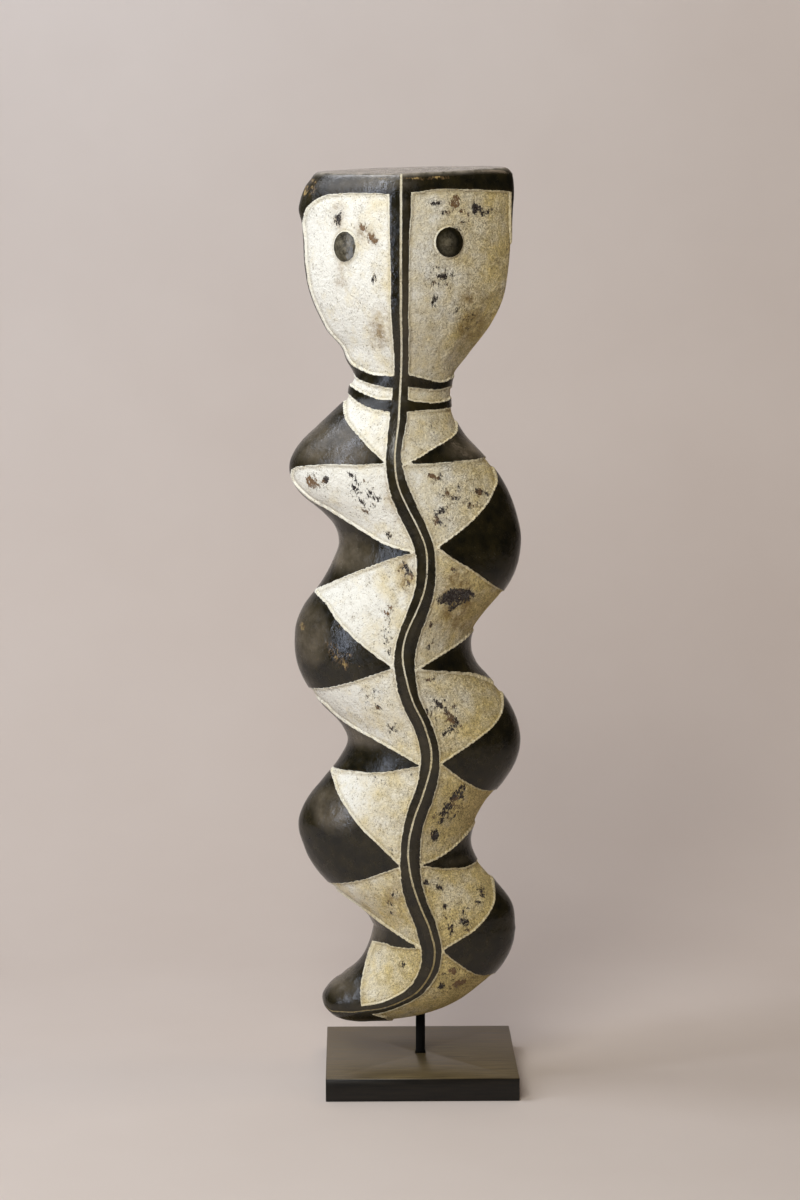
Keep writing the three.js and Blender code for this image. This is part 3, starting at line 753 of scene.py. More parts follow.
@dataclass(frozen=True)
class PaintedWood:
    """Old kaolin and black paint on carved wood.

    The cream is a chalky, brushed earth paint: matt, rough and gone yellow, with flaked places that
    show dark wood. Its colour also holds painted shade, darker and yellower to the right and at the
    foot of the walls, and a painted highlight on the walls. The black is a thin oily paint worn to a
    low sheen, brown where it is rubbed, and a painted sheen greys it where the light from the left
    shines. Its patterns are about as large as they look in the photograph.
    """

    cream: str = "#f4f2e6"
    clean: str = "#f1ead0"
    yellowed_and_shaded: str = "#e3cf91"
    grime_and_shade: str = "#917c46"
    stained: str = "#8c6c2e"
    speck: str = "#6a5a37"
    bare_dark: str = "#2a221e"
    bare_grey: str = "#4d4843"
    bare_brown: str = "#7a6043"
    black: str = "#12110a"
    black_brown: str = "#2e2815"
    rubbed: str = "#5d4a33"
    ochre: str = "#b39a63"
    patina: str = "#7d7664"
    painted_sheen: str = "#696050"
    dust: str = "#b3aa9b"
    cream_roughness: float = 0.8
    black_roughness: float = 0.18
    sheen_range: tuple[float, float] = (-0.12, 0.15)
    gloss: float = 0.42
    paint_edge: float = -1.0
    raggedness: float = 2.2
    edge_blur: float = 0.25
    ragged_edge: Grain = Grain(8, 4.0, 0.65)
    line_gap: Grain = Grain(38, 3.0, 0.6)
    flake: Grain = Grain(3.6, 5.0, 0.72, 0.8)
    flake_group: Grain = Grain(13, 2.0)
    crease: Grain = Grain(11, 4.0, 0.62, 2.2)
    crease_group: Grain = Grain(45, 3.0)
    yellow_cloud: Grain = Grain(34, 5.0, 0.62)
    dirt_cloud: Grain = Grain(20, 5.0, 0.72)
    dirt_speck: Grain = Grain(5, 4.0, 0.7, 1.0)
    pit: Grain = Grain(2.6, 3.0, 0.6, 0.4)
    fibre: Grain = Grain(5, 3.0)
    black_cloud: Grain = Grain(26, 5.0, 0.6)
    rim_patch: Grain = Grain(6, 4.0, 0.7)
    scuff: Grain = Grain(4, 5.0, 0.7, 0.6)
    sheen_patch: Grain = Grain(20, 4.0, 0.6)
    brush_mark: Grain = Grain(4, 5.0, 0.72, 0.9)
    wrinkle: Grain = Grain(9, 3.0, 0.5, 1.2)
    tool_mark: Grain = Grain(11, 4.0, 0.6)

    def material(self) -> bpy.types.Material:
        """Builds the node material.

        Returns:
            The material.
        """
        material, t = new_material("worn_kaolin_and_black_paint_on_wood")
        place = node(t, "TexCoord", output="Object")
        field_edge = node(t, "Attribute", output="Fac", attribute_name="field_edge")
        # Brush strokes and flakes both follow the upright wood fibres, so they are taller than wide
        upright = node(t, "Mapping", {"Vector": place, "Scale": (1.0, 1.0, 0.5)})
        ground = PaintGround(t, place, upright, field_edge)
        cream_paint = self.cream_paint(ground)
        gone = self.flaked(ground)
        bare = node(t, "Math", {0: 1.0, 1: gone}, operation="SUBTRACT")
        covered = node(t, "Math", {0: cream_paint, 1: bare}, operation="MULTIPLY")
        creases = self.creases(ground)
        cream = self.cream_colour(ground, gone, creases)
        dark = self.black_colour(ground)
        colour = node(t, "Mix", {0: cream_paint, 6: dark, 7: cream}, 2, data_type="RGBA")
        worn = node(t, "TexNoise", self.sheen_patch.inputs(place))
        low, high = (self.black_roughness + change for change in self.sheen_range)
        sheen = node(t, "MapRange", {"Value": worn, "From Min": 0.32, "From Max": 0.68, "To Min": low, "To Max": high})
        roughness = node(t, "Mix", {0: covered, 2: sheen, 3: self.cream_roughness})
        bump = self.small_relief(ground, covered, cream_paint, creases)
        inputs = {"Base Color": colour, "Roughness": roughness, "Normal": bump, "Specular IOR Level": self.gloss}
        node(t, "OutputMaterial", {"Surface": node(t, "BsdfPrincipled", inputs)})
        return material

    def cream_paint(self, ground: PaintGround) -> Socket:
        """Where cream paint was laid: the fields with their walls, and the line along the front.

        Args:
            ground: what every layer of the paint reads.

        Returns:
            1 in cream and 0 in black.
        """
        t, place, field_edge = ground.tree, ground.place, ground.field_edge
        ragged = node(t, "TexNoise", self.ragged_edge.inputs(place))
        edge = node(t, "Math", {0: ragged, 1: self.raggedness, 2: field_edge}, operation="MULTIPLY_ADD")
        # The noise is a half on average
        middle = self.paint_edge + self.raggedness / 2
        inputs = {"Value": edge, "From Min": middle - self.edge_blur, "From Max": middle + self.edge_blur}
        field_paint = node(t, "MapRange", inputs)
        line_edge = node(t, "Attribute", output="Fac", attribute_name="line_edge")
        line = node(t, "Math", {0: ragged, 1: 1.8, 2: line_edge}, operation="MULTIPLY_ADD")
        line = node(t, "MapRange", {"Value": line, "From Min": 0.6, "From Max": 1.0})
        gaps = node(t, "TexNoise", self.line_gap.inputs(place))
        kept = node(t, "MapRange", {"Value": gaps, "From Min": 0.66, "From Max": 0.6, "To Min": 0.7})
        line = node(t, "Math", {0: line, 1: kept}, operation="MULTIPLY")
        return node(t, "Math", {0: field_paint, 1: line}, operation="MAXIMUM")

    def flaked(self, ground: PaintGround) -> Socket:
        """Where the cream has come off in ragged flakes that gather round the worn places.

        Args:
            ground: what every layer of the paint reads.

        Returns:
            1 where bare wood shows.
        """
        t = ground.tree
        amount = node(t, "Attribute", output="Fac", attribute_name="flakes")
        fine = node(t, "TexNoise", self.flake.inputs(ground.upright))
        broad = node(t, "TexNoise", self.flake_group.inputs(ground.place))
        value = node(t, "Math", {0: broad, 1: 0.5, 2: fine}, operation="MULTIPLY_ADD")
        value = node(t, "Math", {0: amount, 1: 0.42, 2: value}, operation="MULTIPLY_ADD")
        return node(t, "MapRange", {"Value": value, "From Min": 1.07, "From Max": 1.085})

    def creases(self, ground: PaintGround) -> Socket:
        """Fine wandering wrinkles in the thick cream paint.

        Args:
            ground: what every layer of the paint reads.

        Returns:
            How much of a wrinkle there is, most at the right and low down.
        """
        t, place = ground.tree, ground.place
        folded = node(t, "TexNoise", self.crease.inputs(place))
        away = node(t, "Math", {0: folded, 1: 0.5}, operation="SUBTRACT")
        away = node(t, "Math", {0: away}, operation="ABSOLUTE")
        fold = node(t, "MapRange", {"Value": away, "From Min": 0.045, "From Max": 0.005})
        x = node(t, "SeparateXYZ", {0: place})
        inputs = {"Value": x.node.outputs["Z"], "From Min": 0.2, "From Max": 0.9, "To Min": 0.09, "To Max": 0.0}
        across = node(t, "Math", {0: x, 1: node(t, "MapRange", inputs)}, operation="ADD")
        patchy = node(t, "TexNoise", self.crease_group.inputs(place))
        across = node(t, "Math", {0: patchy, 1: 0.12, 2: across}, operation="MULTIPLY_ADD")
        most = node(t, "MapRange", {"Value": across, "From Min": -0.03, "From Max": 0.13, "To Min": 0.06})
        return node(t, "Math", {0: fold, 1: most}, operation="MULTIPLY")

    def cream_colour(self, ground: PaintGround, gone: Socket, creases: Socket) -> Socket:
        """Colour inside the cream fields.

        Args:
            ground: what every layer of the paint reads.
            gone: 1 where bare wood shows.
            creases: 1 in the paint's wrinkles.

        Returns:
            The colour.
        """
        t, place, field_edge = ground.tree, ground.place, ground.field_edge
        x = node(t, "SeparateXYZ", {0: place})
        # Partly painted shade: the cream grows yellower and darker to the right, where the light from the left falls
        # off; it also yellows low down, in the listed darker spots and in clouds
        right = node(t, "MapRange", {"Value": x, "From Min": -0.13, "From Max": 0.13, "To Max": 0.84})
        inputs = {"Value": x.node.outputs["Z"], "From Min": 0.2, "From Max": 0.75, "To Min": 0.42, "To Max": 0.0}
        low = node(t, "MapRange", inputs)
        to_right = node(t, "Math", {0: right, 1: low}, operation="ADD")
        # Listed spots where the cream is darker and yellower, and lighter where this is below 0
        age = node(t, "Attribute", output="Fac", attribute_name="age")
        to_right = node(t, "Math", {0: age, 1: 0.18, 2: to_right}, operation="MULTIPLY_ADD")
        cloudy = node(t, "TexNoise", self.yellow_cloud.inputs(place))
        old = node(t, "Math", {0: cloudy, 1: 1.6, 2: to_right}, operation="MULTIPLY_ADD")
        old = node(t, "MapRange", {"Value": old, "From Min": 0.85, "From Max": 1.75})
        # Soft brown dirt, partly painted shade: most on the right, and just inside the fields' clean walls
        broad = node(t, "TexNoise", self.dirt_cloud.inputs(place))
        mottled = node(t, "Math", {0: right, 1: 0.16, 2: broad}, operation="MULTIPLY_ADD")
        mottled = node(t, "Math", {0: age, 1: 0.06, 2: mottled}, operation="MULTIPLY_ADD")
        mottled = node(t, "MapRange", {"Value": mottled, "From Min": 0.53, "From Max": 0.82, "To Max": 0.34})
        dusty = node(t, "Math", {0: broad, 1: 14.0, 2: field_edge}, operation="MULTIPLY_ADD")
        dusty = node(t, "MapRange", {"Value": dusty, "From Min": 13.5, "From Max": 7.5, "To Max": 0.45})
        inner = node(t, "MapRange", {"Value": field_edge, "From Min": 1.2, "From Max": 2.0})
        dusty = node(t, "Math", {0: dusty, 1: inner}, operation="MULTIPLY")
        stains = node(t, "Attribute", output="Fac", attribute_name="stains")
        seep = node(t, "MapRange", {"Value": broad, "From Min": 0.36, "From Max": 0.62, "To Max": 0.75})
        stained = node(t, "Math", {0: stains, 1: seep}, operation="MULTIPLY")
        # Dirt caught in the wrinkles and in the pits between the brush strokes
        folds = node(t, "Math", {0: creases, 1: 0.62}, operation="MULTIPLY")
        rough = node(t, "TexNoise", self.dirt_speck.inputs(place))
        rough = node(t, "MapRange", {"Value": rough, "From Min": 0.54, "From Max": 0.62})
        worn = node(t, "MapRange", {"Value": to_right, "From Min": 0.2, "From Max": 1.15, "To Max": 0.62})
        rough = node(t, "Math", {0: rough, 1: worn}, operation="MULTIPLY")
        folds = node(t, "Math", {0: folds, 1: rough}, operation="MAXIMUM")
        pits = node(t, "TexNoise", self.pit.inputs(place))
        pits = node(t, "Math", {0: broad, 1: 0.35, 2: pits}, operation="MULTIPLY_ADD")
        pits = node(t, "Math", {0: to_right, 1: 0.04, 2: pits}, operation="MULTIPLY_ADD")
        pits = node(t, "MapRange", {"Value": pits, "From Min": 0.765, "From Max": 0.86, "To Max": 0.7})
        # The walls are rubbed clean and painted lighter, a painted highlight along every wall
        wall = node(t, "MapRange", {"Value": field_edge, "From Min": 1.8, "From Max": 1.0, "To Max": 0.34})
        # The line along the spine is dull, and brown on the tail
        on_line = node(t, "MapRange", {"Value": field_edge, "From Min": -2.0, "From Max": -4.0})
        inputs = {"Value": x.node.outputs["Z"], "From Min": 0.36, "From Max": 0.17, "To Min": 0.15, "To Max": 0.8}
        dull = node(t, "Math", {0: node(t, "MapRange", inputs), 1: on_line}, operation="MULTIPLY")
        # Each layer covers the ones before it
        layers = (
            (old, self.yellowed_and_shaded), (mottled, self.grime_and_shade), (dusty, self.grime_and_shade), (stained, self.stained),
            (folds, self.speck), (pits, self.speck), (wall, self.clean), (dull, self.grime_and_shade),
        )
        shade = linear(self.cream)
        for share, paint in layers:
            shade = node(t, "Mix", {0: share, 6: shade, 7: linear(paint)}, 2, data_type="RGBA")
        # Bare wood under the flakes is dark or grey by its fibres, and orange-brown in places
        fibres = node(t, "TexNoise", self.fibre.inputs(place))
        brown = node(t, "MapRange", {"Value": fibres, "From Min": 0.52, "From Max": 0.62})
        inputs = {0: brown, 6: linear(self.bare_dark), 7: linear(self.bare_grey)}
        wood = node(t, "Mix", inputs, 2, data_type="RGBA")
        warm = node(t, "MapRange", {"Value": cloudy, "From Min": 0.52, "From Max": 0.6, "To Max": 0.85})
        rusty = node(t, "Attribute", output="Fac", attribute_name="rusty")
        warm = node(t, "Math", {0: warm, 1: rusty}, operation="MAXIMUM")
        wood = node(t, "Mix", {0: warm, 6: wood, 7: linear(self.bare_brown)}, 2, data_type="RGBA")
        return node(t, "Mix", {0: gone, 6: shade, 7: wood}, 2, data_type="RGBA")

    def black_colour(self, ground: PaintGround) -> Socket:
        """Colour of the black: cloudy, brown along rubbed edges and in scuffs.

        Args:
            ground: what every layer of the paint reads.

        Returns:
            The colour.
        """
        t, place, field_edge = ground.tree, ground.place, ground.field_edge
        cloudy = node(t, "TexNoise", self.black_cloud.inputs(place))
        cloudy = node(t, "MapRange", {"Value": cloudy, "From Min": 0.35, "From Max": 0.75})
        near = node(t, "MapRange", {"Value": field_edge, "From Min": -4.5, "From Max": -1.0, "To Max": 0.5})
        patchy = node(t, "TexNoise", self.rim_patch.inputs(place))
        patchy = node(t, "MapRange", {"Value": patchy, "From Min": 0.5, "From Max": 0.7})
        rim = node(t, "Math", {0: near, 1: patchy}, operation="MULTIPLY")
        rubbed = node(t, "Attribute", output="Fac", attribute_name="rubbed")
        scuffs = node(t, "TexNoise", self.scuff.inputs(ground.upright))
        scuffed = node(t, "Math", {0: rubbed, 1: 0.2, 2: scuffs}, operation="MULTIPLY_ADD")
        brown = node(t, "MapRange", {"Value": scuffed, "From Min": 0.69, "From Max": 0.75, "To Max": 0.8})
        pale = node(t, "MapRange", {"Value": scuffed, "From Min": 0.79, "From Max": 0.83, "To Max": 0.8})
        layers = [(cloudy, self.black_brown), (rim, self.rubbed), (brown, self.rubbed), (pale, self.ochre)]
        # Grey-brown layers: mottled patina on the eyes; painted sheen, soft on the worn bulges, where the light
        # from the left shines on the black; and dust on the top, partly a painted sheen of light from above
        greys = (
            ("patina", self.patina, 9, 0.36, 0.6, 0.12),
            ("painted_sheen", self.painted_sheen, 34, 0.3, 0.66, 0.25),
            ("dust", self.dust, 16, 0.3, 0.62, 0.2),
        )
        for name, shade, size, least, most, floor in greys:
            share = node(t, "Attribute", output="Fac", attribute_name=name)
            patchy = node(t, "TexNoise", Grain(size, 5.0, 0.68).inputs(place))
            patchy = node(t, "MapRange", {"Value": patchy, "From Min": least, "From Max": most, "To Min": floor})
            layers.append((node(t, "Math", {0: share, 1: patchy}, operation="MULTIPLY"), shade))
        dark = linear(self.black)
        for share, shade in layers:
            dark = node(t, "Mix", {0: share, 6: dark, 7: linear(shade)}, 2, data_type="RGBA")
        return dark

    def small_relief(self, ground: PaintGround, covered: Socket, cream_paint: Socket, creases: Socket) -> Socket:
        """Brush marks, the thickness of the cream paint and faint tool marks, in millimetres.

        Args:
            ground: what every layer of the paint reads.
            covered: 1 where cream paint lies.
            cream_paint: 1 where cream paint was laid.
            creases: 1 in the paint's wrinkles.

        Returns:
            The normal.
        """
        t, place = ground.tree, ground.place
        brushed = node(t, "TexNoise", self.brush_mark.inputs(ground.upright))
        wrinkled = node(t, "TexNoise", self.wrinkle.inputs(place))
        brushed = node(t, "Math", {0: wrinkled, 1: 2.7, 2: brushed}, operation="MULTIPLY_ADD")
        brushed = node(t, "Math", {0: creases, 1: -0.3, 2: brushed}, operation="MULTIPLY_ADD")
        brushed = node(t, "Math", {0: brushed, 1: cream_paint}, operation="MULTIPLY")
        thick = node(t, "Math", {0: covered, 1: 0.45, 2: brushed}, operation="MULTIPLY_ADD")
        tooled = node(t, "TexNoise", self.tool_mark.inputs(place))
        height = node(t, "Math", {0: tooled, 1: 0.8, 2: thick}, operation="MULTIPLY_ADD")
        return node(t, "Bump", {"Strength": 1.0, "Distance": MM, "Height": height})


@dataclass(frozen=True)
class BlackenedSteel:
    """Waxed black steel bar: dark, a little brown, with a dull streaky sheen.

    Its streaks are coarser than real ones, which would be too fine to see from here.
    """

    colour: str = "#030302"
    worn: str = "#080706"
    roughness: float = 0.45
    streak: Grain = Grain(5, 4.0, 0.6)
    gloss: float = 0.12

    def material(self) -> bpy.types.Material:
        """Builds the node material.

        Returns:
            The material.
        """
        material, t = new_material("blackened_steel")
        place = node(t, "TexCoord", output="Object")
        drawn = node(t, "Mapping", {"Vector": place, "Scale": (1.0, 1.0, 0.15)})
        drawn = node(t, "TexNoise", self.streak.inputs(drawn))
        inputs = {0: drawn, 6: linear(self.colour), 7: linear(self.worn)}
        colour = node(t, "Mix", inputs, 2, data_type="RGBA")
        inputs = {"Value": drawn, "To Min": self.roughness - 0.1, "To Max": self.roughness + 0.15}
        roughness = node(t, "MapRange", inputs)
        bump = node(t, "Bump", {"Strength": 0.4, "Distance": 0.3 * MM, "Height": drawn})
        inputs = {"Base Color": colour, "Roughness": roughness, "Normal": bump, "Specular IOR Level": self.gloss}
        node(t, "OutputMaterial", {"Surface": node(t, "BsdfPrincipled", inputs)})
        return material


@dataclass(frozen=True)
class StainedBoard:
    """Plank stained black and waxed: fine grain from left to right, a knot, a little dust and painted light on top.

    Its grain is coarser than real grain, which would be too fine to see from here.
    """

    colour: str = "#0c0b09"
    grain_colour: str = "#211c14"
    painted_top_light: str = "#7e6d4a"
    dust: str = "#8f8570"
    roughness: float = 0.33
    wood_grain: Grain = Grain(5, 6.0, 0.65)
    dust_speck: Grain = Grain(6, 3.0, 0.6)
    gloss: float = 0.35
    knot: tuple[float, float] = (-0.135, 0.128)

    def material(self) -> bpy.types.Material:
        """Builds the node material.

        Returns:
            The material.
        """
        material, t = new_material("black_stained_plank")
        place = node(t, "TexCoord", output="Object")
        x = node(t, "SeparateXYZ", {0: place})
        y, z = x.node.outputs["Y"], x.node.outputs["Z"]
        # The grain bends round the knot
        level = node(t, "CombineXYZ", {"X": x, "Y": y})
        away = node(t, "VectorMath", {0: level, 1: (*self.knot, 0.0)}, "Value", operation="DISTANCE")
        pull = node(t, "MapRange", {"Value": away, "From Max": 0.07, "To Min": 0.02, "To Max": 0.0})
        bent = node(t, "Math", {0: y, 1: pull}, operation="ADD")
        board = node(t, "CombineXYZ", {"X": x, "Y": bent, "Z": z})
        fibres = node(t, "Mapping", {"Vector": board, "Scale": (0.06, 1.0, 1.0)})
        fibres = node(t, "TexNoise", self.wood_grain.inputs(fibres))
        pale = node(t, "MapRange", {"Value": fibres, "From Min": 0.35, "From Max": 0.7})
        inputs = {0: pale, 6: linear(self.colour), 7: linear(self.grain_colour)}
        wood = node(t, "Mix", inputs, 2, data_type="RGBA")
        inputs = {"Value": away, "From Min": 0.006, "From Max": 0.014, "To Min": 1.0, "To Max": 0.0}
        knot = node(t, "MapRange", inputs)
        wood = node(t, "Mix", {0: knot, 6: wood, 7: linear(self.colour)}, 2, data_type="RGBA")
        # Painted light from above: the top is lighter and browner, laid along the grain
        on_top = node(t, "MapRange", {"Value": z, "From Min": 0.0385, "From Max": 0.0398})
        lies = node(t, "MapRange", {"Value": fibres, "From Min": 0.3, "From Max": 0.75, "To Min": 0.15, "To Max": 0.85})
        lies = node(t, "Math", {0: lies, 1: on_top}, operation="MULTIPLY")
        wood = node(t, "Mix", {0: lies, 6: wood, 7: linear(self.painted_top_light)}, 2, data_type="RGBA")
        specks = node(t, "TexNoise", self.dust_speck.inputs(place))
        dusty = node(t, "MapRange", {"Value": specks, "From Min": 0.74, "From Max": 0.78, "To Max": 0.7})
        colour = node(t, "Mix", {0: dusty, 6: wood, 7: linear(self.dust)}, 2, data_type="RGBA")
        inputs = {"Value": fibres, "To Min": self.roughness - 0.08, "To Max": self.roughness + 0.16}
        waxed = node(t, "MapRange", inputs)
        bump = node(t, "Bump", {"Strength": 0.5, "Distance": 0.4 * MM, "Height": fibres})
        inputs = {"Base Color": colour, "Roughness": waxed, "Normal": bump, "Specular IOR Level": self.gloss}
        node(t, "OutputMaterial", {"Surface": node(t, "BsdfPrincipled", inputs)})
        return material


@dataclass(frozen=True)
class PaintedCanvas:
    """Pale studio canvas, hung and laid in one sweep: matt, faintly clouded."""

    colour: str = "#dcd6d1"
    cloud: str = "#d2cac4"
    towards_floor: str = "#d3bca6"
    roughness: float = 0.9
    clouding: Grain = Grain(420, 3.0, 0.55)

    def material(self) -> bpy.types.Material:
        """Builds the node material.

        Returns:
            The material.
        """
        material, t = new_material("painted_studio_canvas")
        place = node(t, "TexCoord", output="Object")
        clouds = node(t, "TexNoise", self.clouding.inputs(place))
        inputs = {0: clouds, 6: linear(self.colour), 7: linear(self.cloud)}
        colour = node(t, "Mix", inputs, 2, data_type="RGBA")
        # Warmer and a little darker towards the floor
        height = node(t, "SeparateXYZ", {0: place}).node.outputs["Z"]
        low = node(t, "MapRange", {"Value": height, "From Min": 2.2, "From Max": 0.6, "To Max": 0.28})
        colour = node(t, "Mix", {0: low, 6: colour, 7: linear(self.towards_floor)}, 2, data_type="RGBA")
        cloth = node(t, "BsdfPrincipled", {"Base Color": colour, "Roughness": self.roughness})
        # The canvas has no back, so that the carving can be looked at from behind it
        inputs = {0: node(t, "NewGeometry", output="Backfacing"), 1: cloth, 2: node(t, "BsdfTransparent")}
        node(t, "OutputMaterial", {"Surface": node(t, "MixShader", inputs)})
        return material


@dataclass
class SnakeCarving:
    """Surface of the carving: cream fields sunk between black ones, with slanted walls.

    The form winds and its levels follow drawn lines, so its mesh is made point by point. Places on
    the mesh are rows down the carving and columns round it, whole at a point of the grid.
    """

    form: SnakeForm
    pattern: CarvedPattern
    finish: PaintedWood
    row_step: float = 3.7
    tail_step: float = 1.05
    side_columns: int = 60
    back_columns: int = 26
    relief: float = 3
    back_relief: float = 1.3
    wall: float = 1.25
    groove: float = 1.2
    eye_dome: float = 2.2
    shallow_side: float = 0.45
    line_inset: float = 0.4
    rim_run: float = 17
    cap_run: float = 120
    rim_inset: float = 11
    smooth_angle: float = 38
    behind_from: float = 92
    behind_fade: float = 25
    front_until: float = 110
    front_fade: float = 20
    face_side: tuple[float, float] = (-110, 1250)
    spine_painted_sheen: float = 0.13
    spine_painted_sheen_reach: float = 14
    spine_painted_sheen_fade: float = 3
    spine_painted_sheen_top: float = 1230
    slope_step: float = 0.12
    least_steepness: float = 1e-4
    snap_rounds: int = 3
    snap_reach: float = 0.55
    snap_miss: float = 0.3
    most_wall_step: float = 0.42
    broad_wave: tuple[float, float] = (48, 0.6)
    small_wave: tuple[float, float] = (15, 0.22)

    def __post_init__(self) -> None:
        """Lays out the rows down the carving and the columns round it."""
        form = self.form
        cap = -self.rim_run - self.cap_run * np.array(CAP_SHARES)
        rim = -self.rim_run * np.array(RIM_SHARES)
        body = np.linspace(0, form.body_run, round(form.body_run / self.row_step) + 1)
        degrees = np.concatenate([np.arange(self.tail_step, self.pattern.band_end, self.tail_step), TIP_DEGREES])
        self.runs = np.concatenate([cap, rim, body, form.body_run + form.run_per_degree * degrees])
        side = np.linspace(0, 90, self.side_columns + 1)[1:]
        back = np.linspace(90, 180, self.back_columns + 1)[1:]
        turns = np.concatenate([-back[::-1], -side[::-1], np.zeros(5), side, back[:-1]])
        # Five columns at the ridge make the centre line: its two edges, its bed's two and its middle
        half = len(back) + len(side)
        steps = np.concatenate([np.full(half, -2.0), [-2, -1, 0, 1, 2], np.full(half - 1, 2.0)])
        self.turns = np.concatenate([turns[-1:] - 360, turns, turns[:1] + 360])
        self.steps = np.concatenate([[2.0], steps, [-2.0]])

    def at(self, row: np.ndarray, column: np.ndarray) -> tuple[np.ndarray, np.ndarray, np.ndarray]:
        """Where a row and a column lie on the form.

        Args:
            row: rows, whole or between two.
            column: columns, whole or between two.

        Returns:
            The run, the turn and the shift.
        """
        run = np.interp(row, np.arange(len(self.runs)), self.runs)
        places = np.arange(-1, len(self.turns) - 1)
        turn = np.interp(column, places, self.turns)
        step = np.interp(column, places, self.steps)
        half = along(LINE_HALF_WIDTH, self.form.top - run)
        bed = half - self.line_inset
        reach = np.where(np.abs(step) < 1, np.abs(step) * bed, bed - 1 + np.abs(step))
        return run, turn, np.sign(step) * reach

    def surface(self, row: np.ndarray, column: np.ndarray) -> np.ndarray:
        """Point of the smooth form.

        Args:
            row: rows, whole or between two.
            column: columns, whole or between two.

        Returns:
            (x, y, z) rows in millimetres.
        """
        form = self.form
        run, turn, shift = self.at(row, column)
        body = form.place(np.maximum(run, 0), turn, shift)
        rim_share = 1 - self.rim_inset / RIGHT_EDGE[0][1]
        bend = np.clip(-run / self.rim_run, 0, 1) * math.pi / 2
        inner = np.clip((-run - self.rim_run) / self.cap_run, 0, 1)
        share = 1 - (1 - rim_share) * bend / (math.pi / 2) - rim_share * inner
        height = form.top + (form.top_height - form.top) * np.sin(bend)
        height = height + form.dome * (1 - (1 - inner) ** 2)
        return np.where((run < 0)[..., None], form.cap(share, height, turn, shift), body)

    def outward(self, row: np.ndarray, column: np.ndarray) -> np.ndarray:
        """Direction away from the form.

        Args:
            row: rows, whole or between two.
            column: columns, whole or between two.

        Returns:
            Rows of length 1.
        """
        down = self.surface(row + 0.5, column) - self.surface(row - 0.5, column)
        across = self.surface(row, column + 0.5) - self.surface(row, column - 0.5)
        normal = np.cross(down, across)
        return normal / np.maximum(np.linalg.norm(normal, axis=-1), 1e-9)[..., None]

    def edge(self, row: np.ndarray, column: np.ndarray) -> np.ndarray:
        """Distance into the cream fields.

        Args:
            row: rows, whole or between two.
            column: columns, whole or between two.

        Returns:
            Millimetres, positive in cream.
        """
        points = self.surface(row, column)[..., [0, 2]]
        turn = self.at(row, column)[1]
        return self.pattern.cream(points, np.abs(turn) < 90)

    def slope(self, row: np.ndarray, column: np.ndarray) -> tuple[np.ndarray, np.ndarray]:
        """How fast the distance into the cream changes.

        Args:
            row: rows, whole or between two.
            column: columns, whole or between two.

        Returns:
            Its change over one row and over one column.
        """
        h = self.slope_step
        by_row = (self.edge(row + h, column) - self.edge(row - h, column)) / (2 * h)
        by_column = (self.edge(row, column + h) - self.edge(row, column - h)) / (2 * h)
        return by_row, by_column

    def snap(self, row: np.ndarray, column: np.ndarray, value: np.ndarray) -> np.ndarray:
        """Moves grid points onto the outlines of the fields where an outline passes close to them.

        Args:
            row: rows of the grid's points, changed in place.
            column: columns of the grid's points, changed in place.
            value: distance into the cream at each point, changed in place.

        Returns:
            True where a point now lies on an outline.
        """
        found = np.zeros(value.shape, bool)
        start_row, start_column = row.copy(), column.copy()
        for axis in (0, 1):
            other = np.roll(value, -1, axis)
            crosses = value * other < 0
            if axis == 0:
                crosses[-1] = False
            share = np.abs(value) / np.maximum(np.abs(value) + np.abs(other), 1e-9)
            here = crosses & (share <= 0.5)
            there = np.roll(crosses & (share > 0.5), 1, axis)
            back = np.roll(1 - share, 1, axis)
            moved = start_row if axis == 0 else start_column
            grid = row if axis == 0 else column
            fresh = here & ~found
            moved[fresh] = (grid + share)[fresh]
            fresh_back = there & ~found & ~here
            moved[fresh_back] = (grid - back)[fresh_back]
            found |= here | there
        i, k = np.nonzero(found)
        r, c = row[i, k], column[i, k]
        for _ in range(self.snap_rounds):
            by_row, by_column = self.slope(r, c)
            steep = np.maximum(by_row**2 + by_column**2, self.least_steepness)
            off = self.edge(r, c)
            r = np.clip(r - off * by_row / steep, row[i, k] - self.snap_reach, row[i, k] + self.snap_reach)
            c = np.clip(c - off * by_column / steep, column[i, k] - self.snap_reach, column[i, k] + self.snap_reach)
        missed = np.abs(self.edge(r, c)) > self.snap_miss
        r[missed], c[missed] = start_row[i, k][missed], start_column[i, k][missed]
        row[i, k], column[i, k], value[i, k] = r, c, 0
        LOG.info("outline points %d, of them by straight crossing %d", len(r), missed.sum())
        return found

    def triangles(self, value: np.ndarray) -> np.ndarray:
        """Triangles of the grid and its two poles, with diagonals along the outlines.

        Args:
            value: distance into the cream at each point of the grid, 0 on an outline.

        Returns:
            Three vertex numbers for each triangle.
        """
        rows, columns = value.shape
        ids = np.arange(rows * columns).reshape(rows, columns)
        a, b = ids[:-1], ids[1:]
        c, d = np.roll(b, -1, 1), np.roll(a, -1, 1)
        a, b, c, d = (part.ravel() for part in (a, b, c, d))
        flat = value.ravel()
        other = (flat[b] == 0) & (flat[d] == 0) & ~((flat[a] == 0) & (flat[c] == 0))
        first = np.where(other[:, None], np.column_stack([a, b, d]), np.column_stack([a, b, c]))
        second = np.where(other[:, None], np.column_stack([b, c, d]), np.column_stack([a, c, d]))
        top, tip = rows * columns, rows * columns + 1
        head, end = ids[0], ids[-1]
        over = np.column_stack([np.full(columns, top), head, np.roll(head, -1)])
        under = np.column_stack([end, np.full(columns, tip), np.roll(end, -1)])
        return np.vstack([first, second, over, under])

